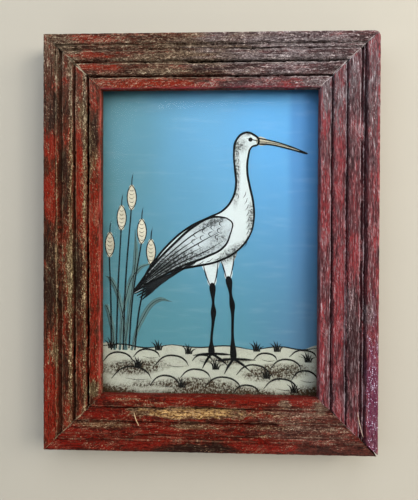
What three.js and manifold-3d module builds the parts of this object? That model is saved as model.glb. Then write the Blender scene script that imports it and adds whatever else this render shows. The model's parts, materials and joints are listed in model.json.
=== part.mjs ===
// A small framed picture painted on the back of its glass, hung on a wall.
//
// Millimetres, +Z up. The picture faces -Y, its flat back lies in the plane Y = 0, and the
// origin is the middle of the top rail's flat back, where the frame lies against the wall.
//
// Four mitred rails of one stepped moulding hold, in a rebate behind, the glass pane and a
// thin backing board. Small nails driven into the rebate's walls keep the board in. A toothed
// hanger strip is nailed to the board, inside the recess, so that the frame hangs flat.

import * as THREE from 'three';
import { mergeVertices } from 'three/addons/utils/BufferGeometryUtils.js';
import Module from 'manifold-3d';

const wasm = await Module();
wasm.setup();

// Touching pieces stand this far apart
const GAP = 0.3;

// Glass pane, and how the rails hold its edge
const GLASS_WIDTH = 130;
const GLASS_HEIGHT = 182;
const GLASS_THICKNESS = 2;
const GLASS_COVER = 2.5;
const GLASS_EDGE_CLEARANCE = 0.5;

// Rails: the depth of the frame from front to back, and the face widths of the upright rails
// and of the top and bottom rails
const FRAME_DEPTH = 20;
const UPRIGHT_WIDTH = 30.8;
const CROSS_WIDTH = 28.5;
const REBATE_DEPTH = 7.3;
const REBATE_WIDTH = GLASS_COVER + GLASS_EDGE_CLEARANCE;

// The moulding's bands from the outer edge in, on an upright rail. Each band starts and ends
// at a distance from the outer edge, and its top and the floor of the quirk behind it are
// heights above the back. Arris is its outer edge's rounding and nose its inner edge's.
const BANDS = [
  { start: 0, end: 6.6, top: FRAME_DEPTH, arris: 1.5, nose: 0.6, floor: 17.9 },
  { start: 7.0, end: 8.4, top: 18.9, arris: 0.5, nose: 0.7, floor: 15.8 },
  { start: 9.9, end: 16.0, top: 18.2, arris: 0.5, nose: 1.4, floor: 14.4 },
  { start: 17.3, end: 23.6, top: 16.6, arris: 0.5, nose: 1.4, floor: 12.9 },
  { start: 24.9, end: UPRIGHT_WIDTH, top: 15.2, arris: 0.5, nose: 0.8, floor: REBATE_DEPTH },
];
const ARC_SEGMENTS = 3;

// Wear that changes the shape. The top right corner is rubbed round. Long hollows run along
// the rails: on the bottom rail a flake and the split beside it, on the top rail two opened
// quirks, and on the left rail the broken noses of two bands. Each hollow runs between two
// distances along its rail, counter-clockwise from the rail's first corner as seen from the
// front. It lies at a distance in from the outer edge, sunk below the top of its band, which
// is numbered from 0 at the outer edge.
const WORN_CORNER_RADIUS = 5;
const CORNER_SEGMENTS = 6;
const HOLLOWS = {
  bottom: [
    { band: 3, from: 65.6, to: 108, across: 20.2, width: 4.4, depth: 1.1, sunk: 0 },
    { band: 3, from: 104.8, to: 143.8, across: 22.4, width: 1.3, depth: 2.4, sunk: 1 },
  ],
  right: [],
  top: [
    { band: 3, from: 18, to: 62, across: 15.4, width: 1.7, depth: 2.2, sunk: 0.2 },
    { band: 4, from: 26, to: 95, across: 22.4, width: 1.7, depth: 2.2, sunk: 0.2 },
  ],
  left: [
    { band: 2, from: 50, to: 78, across: 15.6, width: 2.4, depth: 0.9, sunk: 0 },
    { band: 2, from: 118, to: 150, across: 15.6, width: 2.2, depth: 0.8, sunk: 0 },
    { band: 3, from: 42, to: 62, across: 23.2, width: 2.6, depth: 1, sunk: 0 },
    { band: 3, from: 84, to: 112, across: 23.2, width: 2.2, depth: 0.9, sunk: 0 },
  ],
};
const HOLLOW_SIDES = 12;
const HOLLOW_RINGS = 8;

// Backing board and the small nails that hold it
const BOARD_THICKNESS = 2.4;
const BOARD_BEHIND_GLASS = 0.35;
const BOARD_EDGE_CLEARANCE = 0.8;
const NAIL_RADIUS = 0.6;
const NAIL_HEAD_RADIUS = 0.8;
const NAIL_HEAD_LENGTH = 0.5;
const NAIL_LENGTH = 10.5;
const NAIL_IN_RAIL = 5.5;
const NAIL_SIDES = 8;
const NAIL_TIP_LENGTH = 0.4;
const NAIL_POINT_LENGTH = 1;
const NAIL_TIP_SHARE = 0.6;
const NAIL_HEAD_CROWN_SHARE = 0.3;
const UPRIGHT_NAIL_SPREAD = 52;
const CROSS_NAIL_SPREAD = 40;

// Hanger strip: feet nailed to the board, a raised middle, and teeth along its lower edge
const HANGER_LENGTH = 42;
const HANGER_WIDTH = 9;
const HANGER_THICKNESS = 0.6;
const HANGER_FOOT = 9;
const HANGER_RISE = 0.7;
const HANGER_BELOW_BOARD_TOP = 9;
const TOOTH_COUNT = 7;
const TOOTH_WIDTH = 3;
const TOOTH_DEPTH = 1.6;
const TOOTH_CREST = 0.2;
const TACK_RADIUS = 0.8;
const TACK_HEAD_RADIUS = 1.7;
const TACK_HEAD_LENGTH = 0.5;
const TACK_LENGTH = 3;
const TACK_HOLE_DEPTH = 1.8;

// Cutting shapes reach this far beyond the face that they cut
const CUT_OVERRUN = 1;

// Sizes that follow
const SIGHT_WIDTH = GLASS_WIDTH - 2 * GLASS_COVER;
const SIGHT_HEIGHT = GLASS_HEIGHT - 2 * GLASS_COVER;
const FRAME_WIDTH = SIGHT_WIDTH + 2 * UPRIGHT_WIDTH;
const FRAME_HEIGHT = SIGHT_HEIGHT + 2 * CROSS_WIDTH;
const TOP_BACK_WIDTH = CROSS_WIDTH - REBATE_WIDTH;
const CENTRE_BELOW_ORIGIN = (FRAME_HEIGHT - TOP_BACK_WIDTH) / 2;
const GLASS_FRONT = REBATE_DEPTH - GAP;
const GLASS_BACK = GLASS_FRONT - GLASS_THICKNESS;
const BOARD_FRONT = GLASS_BACK - BOARD_BEHIND_GLASS;
const BOARD_BACK = BOARD_FRONT - BOARD_THICKNESS;
const BOARD_WIDTH = GLASS_WIDTH + 2 * (GLASS_EDGE_CLEARANCE - BOARD_EDGE_CLEARANCE);
const BOARD_HEIGHT = GLASS_HEIGHT + 2 * (GLASS_EDGE_CLEARANCE - BOARD_EDGE_CLEARANCE);
const NAIL_HEIGHT = BOARD_BACK - GAP - NAIL_HEAD_RADIUS;
const HANGER_MIDDLE = BOARD_HEIGHT / 2 - HANGER_BELOW_BOARD_TOP;
const TACK_OFFSET = (HANGER_LENGTH - HANGER_FOOT) / 2;

const METALNESS = 0.9;
const paint = (color, roughness) => new THREE.MeshStandardMaterial({ color, roughness, metalness: 0 });
const metal = (color, roughness) => (
  new THREE.MeshStandardMaterial({ color, roughness, metalness: METALNESS })
);

const RAIL_PAINT = {
  top: paint('#6a4a44', 0.75),
  bottom: paint('#8a2d24', 0.65),
  left: paint('#7a382c', 0.7),
  right: paint('#76303a', 0.65),
};
const PAINTED_GLASS = paint('#5a93bb', 0.08);
const BOARD_BROWN = paint('#8a6a48', 0.85);
const NAIL_STEEL = metal('#6d6a66', 0.5);
const HANGER_BRASS = metal('#a08a52', 0.4);

// Turns a closed three.js geometry into a solid that can be joined and cut
function solid(geometry) {
  geometry.deleteAttribute('normal');
  geometry.deleteAttribute('uv');
  const merged = mergeVertices(geometry);
  return new wasm.Manifold(new wasm.Mesh({
    numProp: 3,
    vertProperties: new Float32Array(merged.attributes.position.array),
    triVerts: new Uint32Array(merged.index.array),
  }));
}

// Turns a solid back into a three.js geometry
function geometryOf(body) {
  const mesh = body.getMesh();
  const geometry = new THREE.BufferGeometry();
  geometry.setAttribute('position', new THREE.BufferAttribute(mesh.vertProperties, 3));
  geometry.setIndex(new THREE.BufferAttribute(mesh.triVerts, 1));
  geometry.computeVertexNormals();
  return geometry;
}

// A rail's cross-section: x runs in from the outer edge and y up from the flat back
function mouldingShape(width) {
  const scale = width / UPRIGHT_WIDTH;
  const shape = new THREE.Shape();
  shape.moveTo(0, 0);
  for (const band of BANDS) {
    const start = band.start * scale;
    const end = band.end * scale;
    shape.lineTo(start, band.top - band.arris);
    shape.quadraticCurveTo(start, band.top, start + band.arris, band.top);
    shape.lineTo(end - band.nose, band.top);
    shape.quadraticCurveTo(end, band.top, end, band.top - band.nose);
    shape.lineTo(end, band.floor);
    const next = BANDS[BANDS.indexOf(band) + 1];
    if (next) shape.lineTo(next.start * scale, band.floor);
  }
  shape.lineTo(width - REBATE_WIDTH, REBATE_DEPTH);
  shape.lineTo(width - REBATE_WIDTH, 0);
  shape.closePath();
  return shape;
}

// A mitred rail along local z, from its outer corner at z = 0. Both ends are cut back by the
// neighbour's width across this rail's width, less half the gap that the joint keeps.
function mitredRail(width, length, neighbourWidth) {
  const geometry = new THREE.ExtrudeGeometry(mouldingShape(width), {
    depth: length,
    bevelEnabled: false,
    curveSegments: ARC_SEGMENTS,
  });
  const slope = neighbourWidth / width;
  const setback = (GAP / 2) * Math.hypot(1, slope);
  const position = geometry.attributes.position;
  for (let i = 0; i < position.count; i += 1) {
    const cut = position.getX(i) * slope + setback;
    const atStart = position.getZ(i) < length / 2;
    position.setZ(i, atStart ? cut : length - cut);
  }
  return geometry;
}

// The sliver between a square corner and its worn rounding, at a rail's start or end
function cornerSliver(radius, length, atEnd) {
  const reach = radius + CUT_OVERRUN;
  const shape = new THREE.Shape();
  shape.moveTo(-CUT_OVERRUN, -CUT_OVERRUN);
  shape.lineTo(reach, -CUT_OVERRUN);
  shape.lineTo(radius, 0);
  shape.absarc(radius, radius, radius, -Math.PI / 2, -Math.PI, true);
  shape.lineTo(-CUT_OVERRUN, reach);
  shape.closePath();
  const geometry = new THREE.ExtrudeGeometry(shape, {
    depth: FRAME_DEPTH + 2 * CUT_OVERRUN,
    bevelEnabled: false,
    curveSegments: CORNER_SEGMENTS,
  });
  geometry.rotateX(Math.PI / 2);
  geometry.translate(0, FRAME_DEPTH + CUT_OVERRUN, 0);
  const sliver = solid(geometry);
  return atEnd ? sliver.mirror([0, 0, 1]).translate([0, 0, length]) : sliver;
}

// The long shallow body that leaves one hollow in a rail
function longHollow({ band, from, to, across, width, depth, sunk }) {
  const geometry = new THREE.SphereGeometry(1, HOLLOW_SIDES, HOLLOW_RINGS);
  geometry.scale(width / 2, depth, (to - from) / 2);
  geometry.translate(across, BANDS[band].top - sunk, (from + to) / 2);
  return solid(geometry);
}

// The hole that a nail fills in the rebate's wall, at a distance along the rail
function nailHole(width, along) {
  const depth = NAIL_IN_RAIL + GAP;
  const length = depth + CUT_OVERRUN;
  const geometry = new THREE.CylinderGeometry(NAIL_RADIUS + GAP, NAIL_RADIUS + GAP, length, NAIL_SIDES);
  geometry.rotateZ(Math.PI / 2);
  geometry.translate(width - REBATE_WIDTH - depth + length / 2, NAIL_HEIGHT, along);
  return solid(geometry);
}

// A round-headed nail along local x, from its point at x = 0 to its head
function nailGeometry(radius, headRadius, headLength, length) {
  const shoulder = length - headLength;
  const profile = [
    [0, 0],
    [radius * NAIL_TIP_SHARE, NAIL_TIP_LENGTH],
    [radius, NAIL_POINT_LENGTH],
    [radius, shoulder],
    [headRadius, shoulder],
    [headRadius, length - headLength * NAIL_HEAD_CROWN_SHARE],
    [headRadius * NAIL_TIP_SHARE, length],
    [0, length],
  ].map(([x, y]) => new THREE.Vector2(x, y));
  const geometry = new THREE.LatheGeometry(profile, NAIL_SIDES);
  geometry.rotateZ(-Math.PI / 2);
  return geometry;
}

// The hanger strip: a joggled band seen from above, with teeth cut along its lower edge
function hangerGeometry() {
  const half = HANGER_LENGTH / 2;
  const inner = half - HANGER_FOOT;
  const ramp = inner - 2 * HANGER_RISE;
  const shape = new THREE.Shape();
  shape.moveTo(-half, 0);
  shape.lineTo(-inner, 0);
  shape.lineTo(-ramp, HANGER_RISE);
  shape.lineTo(ramp, HANGER_RISE);
  shape.lineTo(inner, 0);
  shape.lineTo(half, 0);
  shape.lineTo(half, HANGER_THICKNESS);
  shape.lineTo(inner, HANGER_THICKNESS);
  shape.lineTo(ramp, HANGER_RISE + HANGER_THICKNESS);
  shape.lineTo(-ramp, HANGER_RISE + HANGER_THICKNESS);
  shape.lineTo(-inner, HANGER_THICKNESS);
  shape.lineTo(-half, HANGER_THICKNESS);
  shape.closePath();
  let strip = solid(new THREE.ExtrudeGeometry(shape, { depth: HANGER_WIDTH, bevelEnabled: false }));
  for (let i = 0; i < TOOTH_COUNT; i += 1) {
    const x = (i - (TOOTH_COUNT - 1) / 2) * TOOTH_WIDTH;
    strip = strip.subtract(toothNotch(x));
  }
  for (const x of [-TACK_OFFSET, TACK_OFFSET]) {
    strip = strip.subtract(tackHole(x, 0, HANGER_WIDTH / 2, 2 * (HANGER_THICKNESS + CUT_OVERRUN)));
  }
  return geometryOf(strip);
}

// One notch between two teeth
function toothNotch(x) {
  const half = (TOOTH_WIDTH - TOOTH_CREST) / 2;
  const shape = new THREE.Shape();
  shape.moveTo(x - half, -CUT_OVERRUN);
  shape.lineTo(x + half, -CUT_OVERRUN);
  shape.lineTo(x + half, 0);
  shape.lineTo(x, TOOTH_DEPTH);
  shape.lineTo(x - half, 0);
  shape.closePath();
  const depth = HANGER_RISE + HANGER_THICKNESS + 2 * CUT_OVERRUN;
  const geometry = new THREE.ExtrudeGeometry(shape, { depth, bevelEnabled: false });
  geometry.rotateX(Math.PI / 2);
  geometry.translate(0, depth - CUT_OVERRUN, 0);
  return solid(geometry);
}

// A tack's clearance hole along y, centred on a place and as long as stated
function tackHole(x, y, z, length) {
  const radius = TACK_RADIUS + GAP;
  const geometry = new THREE.CylinderGeometry(radius, radius, length, NAIL_SIDES);
  geometry.translate(x, y, z);
  return solid(geometry);
}

function namedMesh(name, geometry, material) {
  const mesh = new THREE.Mesh(geometry, material);
  mesh.name = name;
  return mesh;
}

// A rail lies along the frame's edge with its outer corner at the group's origin: local x
// points in, local y to the front and local z along the edge, counter-clockwise as seen from
// the front
function placeRail(mesh, quarterTurns, cornerX, cornerZ) {
  const basis = new THREE.Matrix4().makeBasis(
    new THREE.Vector3(0, 0, 1),
    new THREE.Vector3(0, -1, 0),
    new THREE.Vector3(1, 0, 0),
  );
  mesh.rotation.setFromRotationMatrix(basis);
  const side = new THREE.Group();
  side.rotation.y = -quarterTurns * Math.PI / 2;
  side.position.set(cornerX, 0, cornerZ);
  side.add(mesh);
  return side;
}

// Distances along a rail of the given length at which nails hold the board
function nailPlaces(length, upright) {
  const spread = upright ? UPRIGHT_NAIL_SPREAD : CROSS_NAIL_SPREAD;
  return [length / 2 - spread, length / 2 + spread];
}

function buildRails(frame) {
  const halfWidth = FRAME_WIDTH / 2;
  const halfHeight = FRAME_HEIGHT / 2;
  const rails = [
    { side: 'bottom', upright: false, corner: [-halfWidth, -halfHeight] },
    { side: 'right', upright: true, corner: [halfWidth, -halfHeight] },
    { side: 'top', upright: false, corner: [halfWidth, halfHeight] },
    { side: 'left', upright: true, corner: [-halfWidth, halfHeight] },
  ];
  rails.forEach(({ side, upright, corner }, quarterTurns) => {
    const width = upright ? UPRIGHT_WIDTH : CROSS_WIDTH;
    const neighbour = upright ? CROSS_WIDTH : UPRIGHT_WIDTH;
    const length = upright ? FRAME_HEIGHT : FRAME_WIDTH;
    let rail = solid(mitredRail(width, length, neighbour));
    for (const along of nailPlaces(length, upright)) rail = rail.subtract(nailHole(width, along));
    if (side === 'top') rail = rail.subtract(cornerSliver(WORN_CORNER_RADIUS, length, false));
    if (side === 'right') rail = rail.subtract(cornerSliver(WORN_CORNER_RADIUS, length, true));
    for (const hollow of HOLLOWS[side]) rail = rail.subtract(longHollow(hollow));
    const mesh = namedMesh(`rail_${side}`, geometryOf(rail), RAIL_PAINT[side]);
    frame.add(placeRail(mesh, quarterTurns, ...corner));
    nailPlaces(length, upright).forEach((along, index) => {
      const nail = namedMesh(
        `board_nail_${side}_${index + 1}`,
        nailGeometry(NAIL_RADIUS, NAIL_HEAD_RADIUS, NAIL_HEAD_LENGTH, NAIL_LENGTH),
        NAIL_STEEL,
      );
      const holder = new THREE.Group();
      nail.position.set(width - REBATE_WIDTH - NAIL_IN_RAIL, NAIL_HEIGHT, along);
      holder.add(nail);
      frame.add(placeRail(holder, quarterTurns, ...corner));
    });
  });
}

function buildGlass(frame) {
  const pane = new THREE.BoxGeometry(GLASS_WIDTH, GLASS_THICKNESS, GLASS_HEIGHT);
  const mesh = namedMesh('glass_pane', pane, PAINTED_GLASS);
  mesh.position.y = -(GLASS_FRONT + GLASS_BACK) / 2;
  frame.add(mesh);
}

function buildBoard(frame) {
  let board = solid(new THREE.BoxGeometry(BOARD_WIDTH, BOARD_THICKNESS, BOARD_HEIGHT));
  for (const x of [-TACK_OFFSET, TACK_OFFSET]) {
    board = board.subtract(tackHole(x, BOARD_THICKNESS / 2, HANGER_MIDDLE, 2 * TACK_HOLE_DEPTH));
  }
  const mesh = namedMesh('backing_board', geometryOf(board), BOARD_BROWN);
  mesh.position.y = -(BOARD_FRONT + BOARD_BACK) / 2;
  frame.add(mesh);
}

function buildHanger(frame) {
  const hanger = new THREE.Group();
  hanger.position.set(0, -(BOARD_BACK - GAP), HANGER_MIDDLE - HANGER_WIDTH / 2);
  hanger.add(namedMesh('hanger_strip', hangerGeometry(), HANGER_BRASS));
  ['left', 'right'].forEach((side, index) => {
    const tack = namedMesh(
      `hanger_tack_${side}`,
      nailGeometry(TACK_RADIUS, TACK_HEAD_RADIUS, TACK_HEAD_LENGTH, TACK_LENGTH),
      NAIL_STEEL,
    );
    const headBack = HANGER_THICKNESS + GAP + TACK_HEAD_LENGTH;
    tack.rotation.z = Math.PI / 2;
    tack.position.set((2 * index - 1) * TACK_OFFSET, headBack - TACK_LENGTH, HANGER_WIDTH / 2);
    hanger.add(tack);
  });
  frame.add(hanger);
}

function buildPicture() {
  const picture = new THREE.Group();
  const frame = new THREE.Group();
  frame.position.z = -CENTRE_BELOW_ORIGIN;
  buildRails(frame);
  buildGlass(frame);
  buildBoard(frame);
  buildHanger(frame);
  picture.add(frame);
  return picture;
}

export default buildPicture();
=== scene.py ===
"""A small picture painted on the back of its glass, in a worn red frame, hung on a pale wall.

Everything is in metres, in the frame's own axes: +Z up, -Y to the front, and the flat back of
the frame in the plane Y = 0. Sizes and places are written in millimetres and turned to metres
by MM. The four rails are modelled again over their solids, with their worn relief. The picture
is painted as thin films behind the pane: a sky, a stony bank, a wading bird and reeds.
"""

import json
import logging
import math
from dataclasses import dataclass, field, fields, replace
from enum import Enum
from typing import Callable, Iterable, Sequence

import bmesh
import bpy
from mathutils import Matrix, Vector, noise

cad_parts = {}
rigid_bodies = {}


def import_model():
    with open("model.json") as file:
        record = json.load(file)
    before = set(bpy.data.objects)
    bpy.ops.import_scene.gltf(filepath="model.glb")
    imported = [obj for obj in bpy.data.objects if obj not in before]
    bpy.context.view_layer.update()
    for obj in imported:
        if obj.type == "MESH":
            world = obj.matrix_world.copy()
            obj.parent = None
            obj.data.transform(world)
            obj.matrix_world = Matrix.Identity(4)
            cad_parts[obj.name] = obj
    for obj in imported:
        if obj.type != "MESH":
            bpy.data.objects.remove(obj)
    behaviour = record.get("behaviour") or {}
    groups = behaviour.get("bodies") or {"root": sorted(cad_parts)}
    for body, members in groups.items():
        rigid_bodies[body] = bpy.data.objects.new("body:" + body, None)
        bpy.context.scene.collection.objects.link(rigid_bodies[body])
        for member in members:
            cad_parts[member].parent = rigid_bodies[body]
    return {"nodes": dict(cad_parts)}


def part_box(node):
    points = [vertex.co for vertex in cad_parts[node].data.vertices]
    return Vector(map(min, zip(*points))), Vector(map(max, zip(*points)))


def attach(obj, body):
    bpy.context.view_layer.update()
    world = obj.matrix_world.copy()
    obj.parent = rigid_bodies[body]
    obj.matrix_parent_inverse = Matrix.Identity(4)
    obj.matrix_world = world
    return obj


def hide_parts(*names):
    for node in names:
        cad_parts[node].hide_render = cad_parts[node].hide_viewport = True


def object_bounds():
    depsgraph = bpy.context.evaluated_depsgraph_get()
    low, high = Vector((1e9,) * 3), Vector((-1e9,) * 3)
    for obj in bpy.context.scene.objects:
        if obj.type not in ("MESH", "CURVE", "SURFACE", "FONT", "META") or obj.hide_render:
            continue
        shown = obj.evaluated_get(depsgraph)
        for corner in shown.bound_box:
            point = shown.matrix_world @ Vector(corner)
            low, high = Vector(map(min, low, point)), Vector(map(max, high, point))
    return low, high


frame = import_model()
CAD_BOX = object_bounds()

MM = 0.001
BODY = "root"
GRAIN_MAP = "grain"

log = logging.getLogger("framed_picture")

Place = tuple[float, float]
Spot = tuple[float, float, float]
Four = tuple[float, float, float, float]


def rgb(code: str) -> Four:
    """Turns a screen colour such as 9b2a1e into the linear colour that a shader takes.

    Args:
        code: six hexadecimal digits, red, green and blue.

    Returns:
        The linear colour with an alpha of 1.
    """
    channels = [int(code[i:i + 2], 16) / 255 for i in (0, 2, 4)]
    linear = [c / 12.92 if c <= 0.04045 else ((c + 0.055) / 1.055) ** 2.4 for c in channels]
    return (*linear, 1.0)


def smooth_step(value: float, low: float, high: float) -> float:
    """Rises smoothly from 0 at low to 1 at high."""
    share = min(1.0, max(0.0, (value - low) / (high - low)))
    return share * share * (3 - 2 * share)


def wave(x: float, y: float, seed: float) -> float:
    """Soft noise between about -1 and 1 at a place on a surface."""
    return noise.noise(Vector((x, y, seed)))


def between(first: Sequence[Place], second: Sequence[Place], share: float) -> tuple[Place, ...]:
    """The line that runs between two lines of as many points, at a share of the way.

    Args:
        first: the line at a share of 0.
        second: the line at a share of 1.
        share: how far between them, from 0 to 1.

    Returns:
        The points of the line between.
    """
    return tuple(
        (x0 + (x1 - x0) * share, z0 + (z1 - z0) * share)
        for (x0, z0), (x1, z1) in zip(first, second)
    )


def deselect_everything() -> None:
    """Leaves nothing selected and nothing active."""
    for thing in bpy.context.view_layer.objects:
        thing.select_set(False)
    bpy.context.view_layer.objects.active = None


def make_active(piece: bpy.types.Object) -> None:
    """Selects one piece alone and makes it the active one."""
    deselect_everything()
    piece.select_set(True)
    bpy.context.view_layer.objects.active = piece


def new_piece(name: str, add: Callable[..., object], **settings: object) -> bpy.types.Object:
    """Adds one primitive, alone selected, and names it.

    Args:
        name: the name of the object and of its data.
        add: the operator that adds the primitive.
        settings: the operator's own settings.

    Returns:
        The new object.
    """
    deselect_everything()
    add(**settings)
    piece = bpy.context.active_object
    piece.name = piece.data.name = name
    log.info("%s", name)
    return piece


def settle(piece: bpy.types.Object) -> None:
    """Moves a piece's place, turn and scale into its mesh."""
    make_active(piece)
    bpy.ops.object.transform_apply(location=True, rotation=True, scale=True)


def apply_modifier(piece: bpy.types.Object, kind: str, **settings: object) -> None:
    """Adds one modifier to a piece and applies it.

    Args:
        piece: the mesh that gets it.
        kind: the modifier's type, such as DISPLACE.
        settings: values for the modifier.
    """
    make_active(piece)
    modifier = piece.modifiers.new(kind.lower(), kind)
    for key, value in settings.items():
        setattr(modifier, key, value)
    bpy.ops.object.modifier_apply(modifier=modifier.name)


def dress(piece: bpy.types.Object, material: bpy.types.Material) -> None:
    """Gives a piece one material in place of what it has."""
    piece.data.materials.clear()
    piece.data.materials.append(material)


def as_round_bar(curve: bpy.types.Curve) -> None:
    """Empties a curve and makes it a closed round bar, 1 mm in radius times its points' own."""
    curve.splines.clear()
    curve.dimensions = "3D"
    curve.bevel_depth = MM
    curve.bevel_resolution = 1
    curve.use_fill_caps = True


def curve_to_mesh(piece: bpy.types.Object) -> None:
    """Turns a curve into a mesh with its place in it."""
    make_active(piece)
    bpy.ops.object.convert(target="MESH")
    settle(piece)


class EditSession:
    """Opens one piece in edit mode with nothing selected, and closes it again."""

    def __init__(self, piece: bpy.types.Object) -> None:
        """Takes the piece that is to be edited."""
        self.piece = piece

    def __enter__(self) -> "EditSession":
        """Goes to edit mode with nothing selected."""
        make_active(self.piece)
        bpy.ops.object.mode_set(mode="EDIT")
        bpy.ops.mesh.select_mode(type="VERT")
        bpy.ops.mesh.select_all(action="DESELECT")
        return self

    def __exit__(self, *_: object) -> None:
        """Goes back to object mode."""
        bpy.ops.object.mode_set(mode="OBJECT")

    def pick_all(self) -> None:
        """Selects the whole mesh."""
        bpy.ops.mesh.select_all(action="SELECT")

    def pick_edges(self, test: Callable[[Vector, Vector], bool]) -> None:
        """Selects the edges whose two ends pass a test, and nothing else.

        Args:
            test: says by an edge's two ends whether it is wanted.
        """
        bpy.ops.mesh.select_mode(type="EDGE")
        bpy.ops.mesh.select_all(action="DESELECT")
        mesh = bmesh.from_edit_mesh(self.piece.data)
        for edge in mesh.edges:
            edge.select_set(test(edge.verts[0].co, edge.verts[1].co))
        bmesh.update_edit_mesh(self.piece.data)


@dataclass(frozen=True)
class FrameSizes:
    """The frame's sizes in millimetres, read from the solids."""

    width: float
    height: float
    depth: float
    upright: float
    cross: float
    middle: float
    pane_back: float

    @classmethod
    def read(cls) -> "FrameSizes":
        """Reads the sizes from the boxes of the whole frame, two rails and the pane.

        Returns:
            The sizes in millimetres.
        """
        low, high = CAD_BOX
        left_low, left_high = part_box("rail_left")
        cross_low, cross_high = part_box("rail_bottom")
        return cls(
            width=(high[0] - low[0]) / MM,
            height=(high[2] - low[2]) / MM,
            depth=(high[1] - low[1]) / MM,
            upright=round((left_high[0] - left_low[0]) / MM, 1),
            cross=round((cross_high[2] - cross_low[2]) / MM, 1),
            middle=(high[2] + low[2]) / 2 / MM,
            pane_back=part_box("glass_pane")[1][1] / MM,
        )


SIZES = FrameSizes.read()


class Value:
    """A number that a material works out at every place, with plain signs for its sums."""

    def __init__(self, sheet: "Sheet", socket: bpy.types.NodeSocket) -> None:
        """Keeps the material's sheet and the socket that gives the number."""
        self.sheet = sheet
        self.source = socket

    def _sum(self, operation: str, other: object, turned: bool = False) -> "Value":
        """One arithmetic step.

        Args:
            operation: the Math node's operation.
            other: another value or a plain number.
            turned: True where the other one comes first.

        Returns:
            The result.
        """
        node = self.sheet.add("ShaderNodeMath", operation=operation)
        first, second = (other, self) if turned else (self, other)
        self.sheet.feed(node.inputs[0], first)
        self.sheet.feed(node.inputs[1], second)
        return Value(self.sheet, node.outputs[0])

    def __add__(self, other: object) -> "Value":
        """This value and another together."""
        return self._sum("ADD", other)

    def __sub__(self, other: object) -> "Value":
        """This value less another."""
        return self._sum("SUBTRACT", other)

    def __rsub__(self, other: object) -> "Value":
        """Another value less this one."""
        return self._sum("SUBTRACT", other, turned=True)

    def __mul__(self, other: object) -> "Value":
        """This value times another."""
        return self._sum("MULTIPLY", other)

    def __truediv__(self, other: object) -> "Value":
        """This value divided by another."""
        return self._sum("DIVIDE", other)

    def __pow__(self, other: object) -> "Value":
        """This value raised to a power."""
        return self._sum("POWER", other)

    def __abs__(self) -> "Value":
        """This value without its sign."""
        return self._sum("ABSOLUTE", 0.0)

    def at_most(self, limit: float) -> "Value":
        """The smaller one of this value and a limit."""
        return self._sum("MINIMUM", limit)

    def step(self, start: float, end: float) -> "Value":
        """Rises smoothly from 0 to 1 while this value goes from the start to the end."""
        socket = self.sheet.put("MapRange", "Result", {"interpolation_type": "SMOOTHSTEP"},
                                Value=self, From_Min=start, From_Max=end)
        return Value(self.sheet, socket)


class Layers:
    """A colour that is laid in layers, one over the other."""

    def __init__(self, sheet: "Sheet", ground: object) -> None:
        """Starts with the ground colour, as a code or from the material."""
        self.sheet = sheet
        self.source = ground

    def over(self, share: object, colour: object) -> "Layers":
        """Lays a colour over what is there.

        Args:
            share: how much of it shows, from 0 to 1.
            colour: a code, a value or other layers.

        Returns:
            These layers, for the next one.
        """
        node = self.sheet.add("ShaderNodeMix", data_type="RGBA")
        self.sheet.feed(node.inputs["Factor"], share)
        ground, top = (socket for socket in node.inputs if socket.type == "RGBA")
        self.sheet.feed(ground, self.source)
        self.sheet.feed(top, colour)
        self.source = next(socket for socket in node.outputs if socket.type == "RGBA")
        return self


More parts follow.
